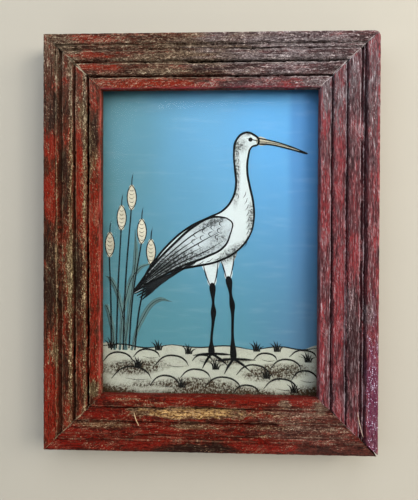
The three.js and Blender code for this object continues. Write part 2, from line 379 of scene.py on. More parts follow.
class Sheet:
    """A material's node tree, with short methods that add nodes and join them."""

    def __init__(self, name: str) -> None:
        """Starts a material that has its shader alone."""
        self.material = bpy.data.materials.new(name)
        self.material.use_nodes = True
        self.tree = self.material.node_tree
        self.shader = self.tree.nodes["Principled BSDF"]

    def add(self, kind: str, **settings: object) -> bpy.types.Node:
        """Adds a node to the tree.

        Args:
            kind: the node's kind, such as ShaderNodeTexNoise.
            settings: the node's own settings.

        Returns:
            The node.
        """
        node = self.tree.nodes.new(kind)
        for key, value in settings.items():
            setattr(node, key, value)
        return node

    def feed(self, socket: bpy.types.NodeSocket, value: object) -> None:
        """Links an input to what gives its value, or sets it.

        Args:
            socket: the input.
            value: a value, layers, an output, a number or a colour code.
        """
        while isinstance(value, (Value, Layers)):
            value = value.source
        if isinstance(value, bpy.types.NodeSocket):
            self.tree.links.new(value, socket)
        else:
            socket.default_value = rgb(value) if isinstance(value, str) else value

    def feed_all(self, node: bpy.types.Node, values: dict[str, object]) -> None:
        """Feeds a node's inputs by their names, with underscores for spaces."""
        for name, value in values.items():
            self.feed(node.inputs[name.replace("_", " ")], value)

    def put(self, kind: str, output: str, settings: dict[str, object] | None = None,
            **values: object) -> bpy.types.NodeSocket:
        """Adds a node and feeds it.

        Args:
            kind: the node's kind without ShaderNode, such as TexNoise.
            output: the name of the output that is wanted.
            settings: the node's own settings.
            values: what each named input gets.

        Returns:
            The named output.
        """
        node = self.add(f"ShaderNode{kind}", **(settings or {}))
        self.feed_all(node, values)
        return node.outputs[output]

    def finish(self, **values: object) -> bpy.types.Material:
        """Feeds the shader's named inputs and returns the finished material."""
        self.feed_all(self.shader, values)
        return self.material

    def object_place(self, x: float = 1, y: float = 1, z: float = 1) -> bpy.types.NodeSocket:
        """The place on the object in metres, stretched along each axis."""
        return self.put("Mapping", "Vector", Vector=self.put("TexCoord", "Object"), Scale=(x, y, z))

    def grain_place(self, along: float, across: float, turn: float = 0.0) -> bpy.types.NodeSocket:
        """The place on the unrolled surface, in cells of a number to the metre each way.

        Args:
            along: cells to the metre along the grain.
            across: cells to the metre across the grain.
            turn: the pattern's turn in degrees.

        Returns:
            The place as a vector.
        """
        return self.put("Mapping", "Vector", {"vector_type": "TEXTURE"},
                        Vector=self.put("UVMap", "UV", {"uv_map": GRAIN_MAP}),
                        Rotation=(0, 0, math.radians(turn)), Scale=(1 / along, 1 / across, 1))

    def axes(self) -> tuple[Value, Value]:
        """The place's X and its Z on the object in metres."""
        node = self.add("ShaderNodeSeparateXYZ")
        self.feed(node.inputs[0], self.object_place())
        return Value(self, node.outputs["X"]), Value(self, node.outputs["Z"])

    def attribute(self, name: str) -> Value:
        """A number kept on the mesh under a name."""
        return Value(self, self.put("Attribute", "Fac", {"attribute_name": name}))

    def noise(self, place: bpy.types.NodeSocket, scale: float = 1.0, detail: float = 3.0,
              rough: float = 0.6, twist: float = 0.0) -> Value:
        """Soft noise from 0 to 1.

        Args:
            place: where the noise is read.
            scale: how many cells it has in one unit of the place.
            detail: how many finer layers it has.
            rough: how strong the finer layers are.
            twist: how far it is drawn out of shape.

        Returns:
            The noise.
        """
        socket = self.put("TexNoise", "Fac", Vector=place, Scale=scale, Detail=detail, Roughness=rough,
                          Distortion=twist)
        return Value(self, socket)

    def bump(self, height: Value, distance: float, strength: float = 1.0) -> bpy.types.NodeSocket:
        """A normal roughened by a height, whose full range is a distance in metres."""
        return self.put("Bump", "Normal", Height=height, Distance=distance, Strength=strength)


class Side(Enum):
    """A rail's side of the frame, by its quarter turns from the bottom as seen from the front."""

    BOTTOM = 0
    RIGHT = 1
    TOP = 2
    LEFT = 3

    @property
    def upright(self) -> bool:
        """True for the two rails that stand."""
        return self in (Side.RIGHT, Side.LEFT)

    @property
    def node(self) -> str:
        """The name of the solid that the rail stands for."""
        return f"rail_{self.name.lower()}"


class Coat(Enum):
    """What shows on a patch of a rail."""

    RED = "red_coat"
    BROWN = "brown_coat"
    GREY = "grey_wood"
    BARE = "bare_wood"
    # the glossy patch: a real varnish coat, with a painted violet sheen and painted glints
    GLOSSY = "glossy_coat"


@dataclass(frozen=True)
class Band:
    """One band of the moulding: its run across the rail, its height and its roundings."""

    start: float
    end: float
    top: float
    arris: float
    nose: float
    floor: float


@dataclass(frozen=True)
class Moulding:
    """A rail's stepped section, drawn for an upright rail and narrowed for the others."""

    bands: tuple[Band, ...]
    rebate_width: float = 3.0
    rebate_depth: float = 7.3
    full_width: float = 30.8
    point_spacing: float = 0.55
    arc_steps: int = 4
    arris_reach: float = 0.9
    nose_reach: float = 1.5
    lip_reach: float = 0.5
    groove_margin: float = 0.1

    def outline(self, width: float) -> list[Place]:
        """The section's outline for a rail of a width.

        Args:
            width: the rail's face width in millimetres.

        Returns:
            Points as distance in from the outer edge and height above the back.
        """
        scale = width / self.full_width
        corners: list[Place] = [(0.0, 0.0)]
        for index, band in enumerate(self.bands):
            start, end = band.start * scale, band.end * scale
            corners += self._arc(start + band.arris, band.top - band.arris, band.arris, 180, 90)
            corners += self._arc(end - band.nose, band.top - band.nose, band.nose, 90, 0)
            corners.append((end, band.floor))
            if index + 1 < len(self.bands):
                corners.append((self.bands[index + 1].start * scale, band.floor))
        rebate = width - self.rebate_width
        corners += [(rebate, self.rebate_depth), (rebate, 0.0)]
        return self._spaced(corners)

    def _arc(self, across: float, height: float, radius: float, turn: float, to: float) -> list[Place]:
        """Points on an arc round a centre, between two angles in degrees."""
        shares = [i / self.arc_steps for i in range(self.arc_steps + 1)]
        angles = [math.radians(turn + (to - turn) * share) for share in shares]
        return [(across + radius * math.cos(a), height + radius * math.sin(a)) for a in angles]

    def _spaced(self, corners: list[Place]) -> list[Place]:
        """Puts points between an outline's corners, about the spacing apart.

        Args:
            corners: the outline's corners, in order.

        Returns:
            The corners and the points between them.
        """
        points: list[Place] = []
        for (x0, y0), (x1, y1) in zip(corners, corners[1:] + corners[:1]):
            count = max(1, round(math.hypot(x1 - x0, y1 - y0) / self.point_spacing))
            points += [(x0 + (x1 - x0) * i / count, y0 + (y1 - y0) * i / count) for i in range(count)]
        return points

    @staticmethod
    def _closeness(offsets: Iterable[Place], reach: float) -> float:
        """How close the nearest of some points lies, from 0 to 1, by the offsets to them."""
        nearest = min(math.hypot(*offset) for offset in offsets)
        return math.exp(-((nearest / reach) ** 2))

    def arris_closeness(self, across: float, height: float) -> float:
        """How close a point of the section lies to a band's outer top edge, from 0 to 1."""
        across, height = round(across, 2), round(height, 2)
        return self._closeness(((across - b.start - 0.3, height - b.top) for b in self.bands),
                               self.arris_reach)

    def nose_closeness(self, across: float, height: float) -> float:
        """How close a point of the section lies to a band's rounded inner edge, from 0 to 1."""
        across, height = round(across, 2), round(height, 2)
        offsets = ((across - b.end + b.nose * 0.6, height - b.top + b.nose * 0.3) for b in self.bands)
        return self._closeness(offsets, self.nose_reach)

    def lip_closeness(self, across: float, height: float) -> float:
        """How close a point of the section lies to the innermost rounded edge, from 0 to 1."""
        last = self.bands[-1]
        inset = last.nose * 0.4
        return self._closeness([(across - last.end + inset, height - last.top + inset)], self.lip_reach)

    def groove_at(self, across: float, height: float) -> tuple[int, float]:
        """Finds the groove that a point of the section lies in.

        Args:
            across: distance in from the outer edge.
            height: height above the back.

        Returns:
            The groove's number from the outer edge, or -1, and the depth in it from 0 to 1.
        """
        across, height = round(across, 2), round(height, 2)
        for index, (outer, inner) in enumerate(zip(self.bands, self.bands[1:])):
            start, end = outer.end - self.groove_margin, inner.start + self.groove_margin
            if start <= across <= end and height > outer.floor - 1:
                rim = min(outer.top, inner.top)
                return index, min(1.0, max(0.0, (rim - height) / (rim - outer.floor)))
        return -1, 0.0


@dataclass(frozen=True)
class Patch:
    """A patch of one coat on the face of the frame, in millimetres from the frame's middle."""

    coat: Coat
    x: float
    z: float
    half_x: float
    half_z: float
    strength: float = 1.0
    reach: float = 2.4

    def weight(self, x: float, z: float, upright: bool, seed: float) -> float:
        """How strongly the patch covers a place, with an edge that is ragged along the grain.

        Args:
            x: the place across the frame.
            z: the place up the frame, from its middle.
            upright: True where the grain runs upwards.
            seed: picks the ragged edge.

        Returns:
            The share from 0 to the patch's strength.
        """
        off_x = abs(x - self.x) / self.half_x
        off_z = abs(z - self.z) / self.half_z
        if off_x > self.reach or off_z > self.reach:
            return 0.0
        along, across = (z, x) if upright else (x, z)
        ragged = 0.5 * wave(along * 0.09, across * 0.45, seed)
        ragged += 0.45 * wave(along * 0.3, across * 1.3, seed + 5)
        return self.strength * (1 - smooth_step(math.hypot(off_x, off_z) + ragged, 0.5, 1.45))


def patches(**rows: Sequence[tuple[float, ...]]) -> tuple[Patch, ...]:
    """Makes the patches of a rail.

    Args:
        rows: for each coat's name the x, z, half width and half height of its patches, and a
            strength where it isn't 1.

    Returns:
        The patches.
    """
    return tuple(Patch(Coat[coat.upper()], *row) for coat, listed in rows.items() for row in listed)


@dataclass(frozen=True)
class Tones:
    """The colours of a stretch of a rail, from its paint down to its broken wood."""

    red: str
    maroon: str
    dark: str
    wood: str
    khaki: str
    pale: str


@dataclass(frozen=True)
class RailPaint:
    """How worn one rail's paint is, and the tones that show on it.

    The tones drift along the rail from the near set to the far set, between two distances from
    the frame's middle, along X on the cross rails and along Z on the uprights. The run is how
    many times longer than usual the marks are along the grain.
    """

    near: Tones
    far: Tones
    far_from: float
    far_to: float
    redness: float
    bareness: float
    # how rubbed and pale the rounded inner edges are: wear, and a painted highlight where they face the
    # light
    nose_wear: float
    arris_wear: float
    speckle: float
    # pale outer edges, rubbed and partly a painted highlight
    rim: float
    gloss: float
    hairs: float
    grime: str
    # strength and tone of a painted highlight along the lip's inner edge
    lip: float = 0.3
    lip_tone: str = "8a4a44"
    scratches: float = 0.4
    run: float = 1.0

    def material(self, side: Side) -> bpy.types.Material:
        """Builds the paint for the rail on one side of the frame."""
        return WornPaint(self, side).build()


class WornPaint(Sheet):
    """A rail's material: old wood, a brown undercoat, a red coat, soiling with painted shade in the grooves
    and cracks, rubbed edges with painted highlights, and a painted violet sheen.
    """

    def __init__(self, paint: RailPaint, side: Side) -> None:
        """Lays the noises over the unrolled surface, and reads the numbers kept on the mesh.

        Args:
            paint: how worn the paint is, and its tones.
            side: the rail that wears it.
        """
        super().__init__(f"worn_paint_{side.name.lower()}")
        self.paint = paint
        self.broad = self._spread(55, 190, 0.5)
        self.streaks = self._spread(75, 850, 0.2)
        self.flecks = self._spread(330 / paint.run, 800, 0.5)
        self.fibres = self._spread(320 / paint.run, 2300)
        self.grit = self._spread(900 / paint.run, 1700, 0.3)
        self.specks = self._spread(1300 / paint.run, 1500)
        self.grain = self.streaks * 0.15 + self.flecks * 0.37 + self.fibres * 0.18 + self.grit * 0.3
        self.nose = self.attribute("nose")
        self.arris = self.attribute("arris")
        marks = (self.attribute(coat.value) for coat in Coat)
        self.red_mark, self.brown_mark, self.grey_mark, self.bare_mark, self.glossy_mark = marks
        self.tones = self._tones(side)
        self.wear = self._wear()
        self.colour = self._coat()

    def build(self) -> bpy.types.Material:
        """Lays the wood, the soiling and painted shade, and the marks and painted highlights over the coat.

        Returns:
            The finished material.
        """
        bare = self.wear.step(0.5, 0.76)
        fissures = self._threads(60, 560, 0.03)
        self.colour.over(bare, self._wood()).over(fissures * 0.65, self.tones["dark"])
        self._break_open()
        self._chip()
        self._scratch()
        self._soil()
        self._join()
        self.colour.over(self.attribute("back"), self._back())
        relief = self.fibres * 0.35 + self.grit * 0.4 - bare * 0.35 + self.streaks * 0.2
        relief = relief - fissures * 0.6 + self.specks * 0.2
        varnish = self.glossy_mark * self.specks.step(0.3, 0.7)
        return self.finish(Base_Color=self.colour, Roughness=0.88 - (1.0 - bare) * self.paint.gloss,
                           Specular_IOR_Level=0.05, Coat_Weight=varnish, Coat_Roughness=0.3,
                           Normal=self.bump(relief, 0.0005, 0.9))

    def _spread(self, along: float, across: float, twist: float = 0.0) -> Value:
        """Noise over the unrolled surface, spread out to run all the way from 0 to 1."""
        return self.noise(self.grain_place(along, across), detail=4.0, twist=twist).step(0.28, 0.72)

    def _threads(self, along: float, across: float, half_width: float, turn: float = 0.0) -> Value:
        """Thin wavy threads, where a slow noise passes its middle value."""
        slow = self.noise(self.grain_place(along, across, turn), twist=0.6)
        return abs(slow - 0.5).step(half_width, 0.0)

    def _tones(self, side: Side) -> dict[str, Layers]:
        """The rail's tones, drifting along it from the near set to the far set.

        Args:
            side: the rail's side of the frame.

        Returns:
            Each tone by its name.
        """
        paint = self.paint
        x, z = self.axes()
        middle = SIZES.middle if side.upright else 0.0
        drift = self.noise(self.grain_place(40, 260)) - 0.5
        place = (z if side.upright else x) + drift * 0.12
        share = place.step((paint.far_from + middle) * MM, (paint.far_to + middle) * MM)
        names = [tone.name for tone in fields(Tones)]
        return {
            name: Layers(self, getattr(paint.near, name)).over(share, getattr(paint.far, name))
            for name in names
        }

    def _wear(self) -> Value:
        """How far the paint is worn: more on the edges, where the rounded ones are partly a painted
        highlight, and on the grey and the bare patches.
        """
        edge = self.nose * (self.specks * 0.9 + 0.25)
        wear = edge * self.paint.nose_wear + self.arris * self.paint.arris_wear
        wear = wear + self.grey_mark * 0.46 + self.bare_mark * 1.5
        wear = wear + self.broad * 0.18 + self.streaks * 0.17 + self.fibres * 0.12 + self.grit * 0.25
        return wear + self.paint.bareness

    def _coat(self) -> Layers:
        """The red coat over its brown undercoat, with dark specks and pale hairs."""
        redder = self.broad * 0.4 + self.streaks * 0.18 + self.flecks * 0.24 + self.grit * 0.18
        redder = redder + (self.red_mark * 0.34 - self.brown_mark * 0.34) + self.paint.redness
        hairs = self.fibres * 0.45 + self.grit * 0.35 + self.streaks * 0.2
        coat = Layers(self, self.tones["dark"]).over(redder.step(0.26, 0.44), self.tones["maroon"])
        coat.over(redder.step(0.5, 0.72), self.tones["red"])
        coat.over(self.specks.step(0.55, 0.8) * 0.5, self.tones["dark"])
        return coat.over(hairs.step(0.5, 0.8) * self.paint.hairs, self.tones["pale"])

    def _wood(self) -> Layers:
        """The weathered wood, paler on the rounded edges, as wear and as a painted highlight, with some
        paint left over.
        """
        bright = self.grain + self.nose * (self.paint.nose_wear * 0.2)
        left_over = self.broad * 0.5 - self.grit * 0.3 + self.specks * 0.4
        wood = Layers(self, self.tones["wood"]).over(self.grain.step(0.32, 0.54), self.tones["khaki"])
        wood.over(bright.step(0.63, 0.8), self.tones["pale"])
        return wood.over(left_over.step(0.42, 0.6) * 0.7, self.tones["maroon"])

    def _break_open(self) -> None:
        """Shows fresh wood on the bare patches, and turns the glossy ones violet, a painted reflection of
        the sky light.
        """
        fresh = self.bare_mark * 0.8 + self.streaks * 0.3 + self.fibres * 0.15
        raw = Layers(self, "3a220f").over(self.grain.step(0.3, 0.5), "7a5630")
        raw.over(self.grain.step(0.47, 0.66), "bf9c66")
        # violet painted reflection on the glossy patch
        self.colour.over(fresh.step(0.55, 0.85), raw).over(self.glossy_mark * 0.5, "602046")

    def _chip(self) -> None:
        """Speckles the paint with small chalky chips, most where it is worn, and thicker and pale lilac on
        the glossy patch, as painted glints.
        """
        cells = self.add("ShaderNodeTexVoronoi")
        self.feed_all(cells, {"Vector": self.grain_place(1000, 1700, 12), "Scale": 1.0})
        chips = Value(self, cells.outputs["Distance"]).step(0.5, 0.2)
        luck = Value(self, self.put("SeparateColor", "Red", Color=cells.outputs["Color"]))
        chance = self.wear * 0.5 + luck + self.broad * 0.25 + self.glossy_mark * 0.5
        rarity = 1.38 - self.paint.speckle * 0.3
        chalk = Layers(self, self.tones["pale"]).over(0.3, self.tones["red"])
        # pale lilac painted glints on the glossy patch
        chalk.over(self.glossy_mark, "dccbe4")
        self.colour.over(chance.step(rarity, rarity + 0.17) * chips * 0.75, chalk)

    def _scratch(self) -> None:
        """Adds slanting scratches, pale outer edges that are rubbed and partly a painted highlight, and a
        painted highlight along the lip's inner edge.
        """
        scratch = self._threads(40, 900, 0.02, 35) * self.paint.scratches
        self.colour.over(scratch * self.broad.step(0.5, 0.9), self.tones["pale"])
        # pale outer edges: rubbed, and partly a painted highlight on the edges that face the light
        rim = self.arris.step(0.8, 0.98) * self.paint.rim
        self.colour.over(rim * self.streaks.step(0.15, 0.55), self.tones["pale"])
        # a painted highlight along the lip's inner edge
        lip = self.attribute("lip") * self.streaks.step(0.15, 0.6)
        self.colour.over(lip * self.paint.lip, self.paint.lip_tone)

    def _soil(self) -> None:
        """Darkens the grooves with soiling and painted shade, most where they are deepest, and paints the
        cracks in them near black as painted shade.
        """
        dirt = self.attribute("groove") + self.streaks * 0.35 + self.grit * 0.15
        crack = self.attribute("crack") + self.flecks * 0.35
        # soiling and painted shade in the grooves, stronger where they are deeper
        self.colour.over(dirt.step(0.5, 1.3) * 0.7, self.paint.grime)
        # painted shade, near black, in the cracks
        self.colour.over(crack.step(0.55, 1.0), "0c0604")

    def _join(self) -> None:
        """Shows pale broken wood beside the mitres, and the dark line of the joint."""
        off = self.attribute("off_mitre") + self.grit * 0.7 + self.specks * 0.3
        wide = (off - 0.5) / (self.attribute("mitre") + 0.01)
        self.colour.over(wide.step(1.0, 0.4) * 0.85, self.tones["pale"])
        self.colour.over(off.step(0.8, 0.5) * self.attribute("joint"), "140b08")

    def _back(self) -> Layers:
        """The unpainted wood behind: brown wood with darker stains."""
        stains = self.noise(self.grain_place(25, 60), detail=4.0)
        wood = Layers(self, "57402b").over(self.grain.step(0.2, 0.8), "9a7c57")
        return wood.over(stains.step(0.52, 0.72), "44301f")


@dataclass(frozen=True)
class Joint:
    """One end of a rail at its mitre: how far it gapes, and where its pale wood shows.

    The opening is the gap's width at the outer corner in front. It closes inwards over a share
    of the mitre, and backwards at a height above the back.
    """

    opening: float = 0.0
    opening_run: float = 0.3
    opening_floor: float = 8.0
    rounding: float = 0.0
    groove: float = 0.5
    pale: float = 0.5
    pale_width: float = 0.7
    pale_from: float = 8.0
    pale_to: float = 30.0


@dataclass
class Rail:
    """One mitred length of the worn moulding.

    The fills and cracks say how plainly each groove is filled or cracked, from the outer edge
    inwards, and the band wear how rubbed each band's inner edge is. Over the closing, a stretch
    along the rail, its cracks close up and its grooves fill, and so they stay beyond it. The
    pairs below it are the distances between which a change sets in, across the rail for the
    margins and the lip, and above its back for the heights and the front.
    """

    side: Side
    paint: RailPaint
    seed: float
    bands: tuple[Band, ...]
    fills: tuple[float, ...]
    cracks: tuple[float, ...]
    band_wear: tuple[float, ...]
    patches: tuple[Patch, ...]
    start: Joint
    end: Joint
    closing: Place | None = None
    lip_lean: float = 0.6
    lengthwise_cuts: tuple[int, int] = (19, 17)
    corner_cuts: tuple[float, ...] = (12, 34, 56, 78)
    grain_shift: Place = (97, 31)
    least_weight: float = 0.002
    front: Place = (9.0, 13.0)
    face_margin: Place = (0.2, 2.5)
    rubbed_margin: Place = (0.8, 3.0)
    lip_across: Place = (28.4, 30.6)
    lip_height: Place = (7.6, 13.0)
    back_height: Place = (0.15, 0.9)
    joint_half_width: float = 0.15
    mitre_reach: float = 9.0
    sharp_angle: float = 40.0
    moulding: Moulding = field(init=False)
    piece: bpy.types.Object = field(init=False)

    @property
    def length(self) -> float:
        """The rail's length along its outer edge."""
        return SIZES.height if self.side.upright else SIZES.width

    @property
    def width(self) -> float:
        """The rail's face width."""
        return SIZES.upright if self.side.upright else SIZES.cross

    @property
    def neighbour_width(self) -> float:
        """The face width of the rails at its two ends."""
        return SIZES.cross if self.side.upright else SIZES.upright

    @property
    def outer_edge(self) -> float:
        """How far the outer edge lies from the frame's middle."""
        return (SIZES.width if self.side.upright else SIZES.height) / 2

    def build(self) -> None:
        """Models the rail, wears it, puts it in its place and paints it."""
        self.moulding = Moulding(self.bands)
        self._draw_section()
        self._extrude_and_mitre()
        self._slice_lengthwise()
        self._map_grain()
        self._wear()
        self._turn_to_place()
        dress(self.piece, self.paint.material(self.side))
        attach(self.piece, BODY)
        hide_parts(self.side.node)
        log.info("%s has %d vertices", self.piece.name, len(self.piece.data.vertices))

    def _draw_section(self) -> None:
        """Draws the section at the rail's left end as a face, one point after another."""
        outline = self.moulding.outline(self.width)
        self.piece = new_piece(f"worn_{self.side.node}", bpy.ops.mesh.primitive_plane_add, size=1)
        with EditSession(self.piece) as session:
            session.pick_all()
            bpy.ops.mesh.merge(type="CENTER")
            bpy.ops.transform.translate(value=(-self.length / 2 * MM, 0, -self.outer_edge * MM))
            for (x0, y0), (x1, y1) in zip(outline, outline[1:]):
                step = (0, -(y1 - y0) * MM, (x1 - x0) * MM)
                bpy.ops.mesh.extrude_vertices_move(TRANSFORM_OT_translate={"value": step})
            session.pick_all()
            bpy.ops.mesh.edge_face_add()

    def _extrude_and_mitre(self) -> None:
        """Pulls the section along the rail and cuts both ends to their mitres."""
        half = self.length / 2
        with EditSession(self.piece) as session:
            session.pick_all()
            bpy.ops.mesh.extrude_region_move(
                TRANSFORM_OT_translate={"value": (self.length * MM, 0, 0)}
            )
            session.pick_all()
            bpy.ops.mesh.normals_make_consistent(inside=False)
            for way, joint in ((-1, self.start), (1, self.end)):
                outer = Vector((way * half, 0, -self.outer_edge))
                inner = Vector((way * (half - self.neighbour_width), 0, self.width - self.outer_edge))
                run = inner - outer
                self._cut(outer, Vector((way * run.z, 0, -way * run.x)))
                if joint.opening:
                    self._open_joint(way, outer, inner, joint)
                if joint.rounding:
                    self._round_corner(way, joint.rounding)

    def _open_joint(self, way: int, outer: Vector, inner: Vector, joint: Joint) -> None:
        """Cuts a joint open in front, in a wedge that closes inwards and towards the back.

        Args:
            way: -1 at the rail's left end and 1 at its right end.
            outer: the mitre's outer point.
            inner: the mitre's inner point.
            joint: the opening's sizes.
        """
        front = Vector((0, -SIZES.depth, 0))
        gap = outer + front - Vector((way * joint.opening / 2, 0, 0))
        inside = outer.lerp(inner, joint.opening_run) + front
        behind = outer - Vector((0, joint.opening_floor, 0))
        outwards = (inside - gap).cross(behind - gap)
        self._cut(gap, outwards * math.copysign(1, outwards.x * way))

    def _round_corner(self, way: int, radius: float) -> None:
        """Takes the sharp outer corner off in a few flat cuts.

        Args:
            way: -1 for the left end and 1 for the right end.
            radius: the corner's radius in millimetres.
        """
        centre = Vector((way * (self.length / 2 - radius), 0, -self.outer_edge + radius))
        for degrees in self.corner_cuts:
            turn = math.radians(degrees)
            out = Vector((way * math.cos(turn), 0, -math.sin(turn)))
            self._cut(centre + out * radius, out)

    @staticmethod
    def _cut(point: Vector, outwards: Vector) -> None:
        """Cuts off what lies beyond a plane.

        Args:
            point: a point of the plane in millimetres.
            outwards: the direction of the waste.
        """
        bpy.ops.mesh.select_all(action="SELECT")
        bpy.ops.mesh.bisect(
            plane_co=point * MM,
            plane_no=outwards.normalized(),
            clear_outer=True,
            use_fill=True,
        )

    def _slice_lengthwise(self) -> None:
        """Cuts the long faces into short lengths, fine enough for the worn relief."""
        def runs_along(a: Vector, b: Vector) -> bool:
            """True for an edge that lies along the rail."""
            return abs(b.x - a.x) > 0.95 * (b - a).length

        with EditSession(self.piece) as session:
            for cuts in self.lengthwise_cuts:
                session.pick_edges(runs_along)
                bpy.ops.mesh.subdivide(number_cuts=cuts)

    def _section_places(self) -> list[Spot]:
        """Each vertex's distance along the rail, in from its outer edge, and above the back."""
        return [
            (v.co.x / MM + self.length / 2, v.co.z / MM + self.outer_edge, -v.co.y / MM)
            for v in self.piece.data.vertices
        ]

    def _map_grain(self) -> None:
        """Unrolls the rail's surface along its grain, in metres, for the relief and the paint."""
        mesh = self.piece.data
        places = self._section_places()
        shift_along, shift_across = (self.seed * shift for shift in self.grain_shift)
        flat: list[float] = []
        for loop in mesh.loops:
            along, across, height = places[loop.vertex_index]
            unrolled = across + SIZES.depth - height
            flat += [(along + shift_along) * MM, (unrolled + shift_across) * MM]
        mesh.uv_layers.new(name=GRAIN_MAP).data.foreach_set("uv", flat)

    def _scaled_map(self, name: str, cells: Place) -> None:
        """Adds a UV map that is the grain map stretched to clouds of a size.

        Args:
            name: the new map's name.
            cells: clouds for each millimetre along and across the grain.
        """
        mesh = self.piece.data
        flat = [0.0] * (2 * len(mesh.loops))
        mesh.uv_layers[GRAIN_MAP].data.foreach_get("uv", flat)
        for axis, count in enumerate(cells):
            flat[axis::2] = [value / MM * count for value in flat[axis::2]]
        mesh.uv_layers.new(name=name).data.foreach_set("uv", flat)

    def _weigh(self, name: str, weights: Sequence[float]) -> str:
        """Keeps one weight for each vertex as a group.

        Args:
            name: the group's name.
            weights: a weight for each vertex, in order.

        Returns:
            The group's name.
        """
        group = self.piece.vertex_groups.new(name=name)
        for index, weight in enumerate(weights):
            if weight > self.least_weight:
                group.add([index], min(1.0, weight), "REPLACE")
        return name

    def _push(self, name: str, weights: Sequence[float], way: str, depth: float,
              cells: Place | None = None, middle: float = 0.5) -> None:
        """Moves the surface by a Displace modifier.

        Args:
            name: the name of the group and texture.
            weights: how far each vertex follows, from 0 to 1.
            way: the modifier's direction.
            depth: the full depth in millimetres.
            cells: cloud cells for each millimetre along and across, or None for a plain push.
            middle: the texture value that doesn't move.
        """
        settings: dict[str, object] = {
            "vertex_group": self._weigh(name, weights),
            "direction": way,
            "strength": depth * MM,
            "mid_level": middle if cells else 0.0,
        }
        if cells:
            clouds = bpy.data.textures.new(f"{name}_{self.side.name.lower()}", "CLOUDS")
            clouds.noise_scale = 1.0
            clouds.noise_depth = 2
            self._scaled_map(name, cells)
            settings |= {"texture": clouds, "texture_coords": "UV", "uv_layer": name}
        apply_modifier(self.piece, "DISPLACE", **settings)
        if cells:
            layers = self.piece.data.uv_layers
            layers.remove(layers[name])
        self.piece.vertex_groups.remove(self.piece.vertex_groups[name])

    def _note(self, name: str, values: Sequence[float]) -> None:
        """Keeps one number for each vertex where the paint can read it."""
        attribute = self.piece.data.attributes.new(name, "FLOAT", "POINT")
        attribute.data.foreach_set("value", values)

    def _wear(self) -> None:
        """Wears the clean moulding: wandering bands, rubbed edges, grain, cracks and flakes."""
        places = self._section_places()
        scale = self.moulding.full_width / self.width
        section = [(along, across * scale, height) for along, across, height in places]

        def each(rule: Callable[[float, float, float], float]) -> list[float]:
            """A rule's value at each vertex's place on a full section."""
            return [rule(*spot) for spot in section]

        face = each(self._face)
        nose = each(self._nose)
        arris = each(lambda _, across, height: self.moulding.arris_closeness(across, height))
        groove = each(lambda _, across, height: self.moulding.groove_at(across, height)[1])
        filled = self._groove_weights(section, self.fills, self.seed + 7, 1.0)
        crack = self._groove_weights(section, self.cracks, self.seed + 9, -1.0)
        edges = list(zip(section, nose, arris))
        rubbed = [self._rubbed(spot, 0.8 * rounded + sharp) for spot, rounded, sharp in edges]
        chipped = [self._chipped(spot, max(rounded, sharp)) for spot, rounded, sharp in edges]
        lip = each(lambda _, across, height:
                   smooth_step(across, *self.lip_across) * smooth_step(height, *self.lip_height))
        rough = [max(smooth_step(depth, 0.0, 0.3), rounded) for depth, rounded in zip(groove, nose)]
        every = [1.0] * len(section)

        self._push("leaning", lip, "Z", self.lip_lean)
        self._push("wander", face, "Z", 0.9, (0.03, 0.16))
        self._push("sag", face, "Y", 0.7, (0.03, 0.12))
        self._push("ragged", rough, "Z", 1.3, (0.45, 0.22))
        self._push("filling", filled, "Y", -1.9)
        self._push("cracking", crack, "Y", 1.6)
        self._push("rubbing", rubbed, "NORMAL", -0.6, (0.2, 0.5), middle=0.15)
        self._push("chipping", chipped, "NORMAL", -0.45)
        self._push("joint", [self._joint_sink(*place) for place in places], "Y", 1.0)
        self._push("fibres", every, "NORMAL", 0.4, (0.11, 1.5))
        self._push("pits", face, "NORMAL", 0.35, (0.55, 1.1))

        self._note("arris", arris)
        self._note("nose", nose)
        self._note("groove", [depth * (1 - 0.6 * fill) for depth, fill in zip(groove, filled)])
        self._note("crack", crack)
        self._note("back", each(lambda _, across, height: 1 - smooth_step(height, *self.back_height)))
        self._note("mitre", [self._mitre_width(*place) for place in places])
        off_mitre = [self._off_mitre(along, across)[1] for along, across, _ in places]
        self._note("off_mitre", [min(self.mitre_reach, off) for off in off_mitre])
        self._note("joint", [self._joint_luck(along, across) for along, across, _ in places])
        # where the painted highlight along the lip's inner edge lies
        self._note("lip", each(lambda _, across, height: self.moulding.lip_closeness(across, height)))

    def _in_front(self, height: float) -> float:
        """How far a height belongs to the worn front, from 0 to 1."""
        return smooth_step(height, *self.front)

    def _face(self, _: float, across: float, height: float) -> float:
        """The share of the front's wear at a place, which leaves the outer edge straight."""
        return self._in_front(height) * smooth_step(across, *self.face_margin)

    def _nose(self, along: float, across: float, height: float) -> float:
        """How worn the nearest rounded inner edge is at a place."""
        luck = 0.75 + 0.5 * smooth_step(wave(along * 0.06, across * 0.3, self.seed + 17), -0.4, 0.4)
        return self.moulding.nose_closeness(across, height) * self._band_share(across) * luck

    def _inside(self, across: float) -> float:
        """The share of rubbing and chipping, which is small at the outer edge."""
        return 0.25 + 0.75 * smooth_step(across, *self.rubbed_margin)

    def _rubbed(self, spot: Spot, edge: float) -> float:
        """How far an edge is rubbed down at a place, in long soft stretches."""
        along, across, _ = spot
        luck = wave(along * 0.05, across * 0.2, self.seed) + 0.5
        return self._inside(across) * edge * smooth_step(luck, 0.0, 0.9)

    def _chipped(self, spot: Spot, edge: float) -> float:
        """How far an edge is chipped at a place, in short steep bites."""
        along, across, _ = spot
        luck = wave(along * 0.25, across * 0.35, self.seed + 3)
        return self._inside(across) * edge * smooth_step(luck, 0.28, 0.5)

    def _band_share(self, across: float) -> float:
        """How worn the inner edge is of the band that a place lies on."""
        for band, share in zip(self.moulding.bands, self.band_wear):
            if across <= band.end + 0.4:
                return share
        return self.band_wear[-1]

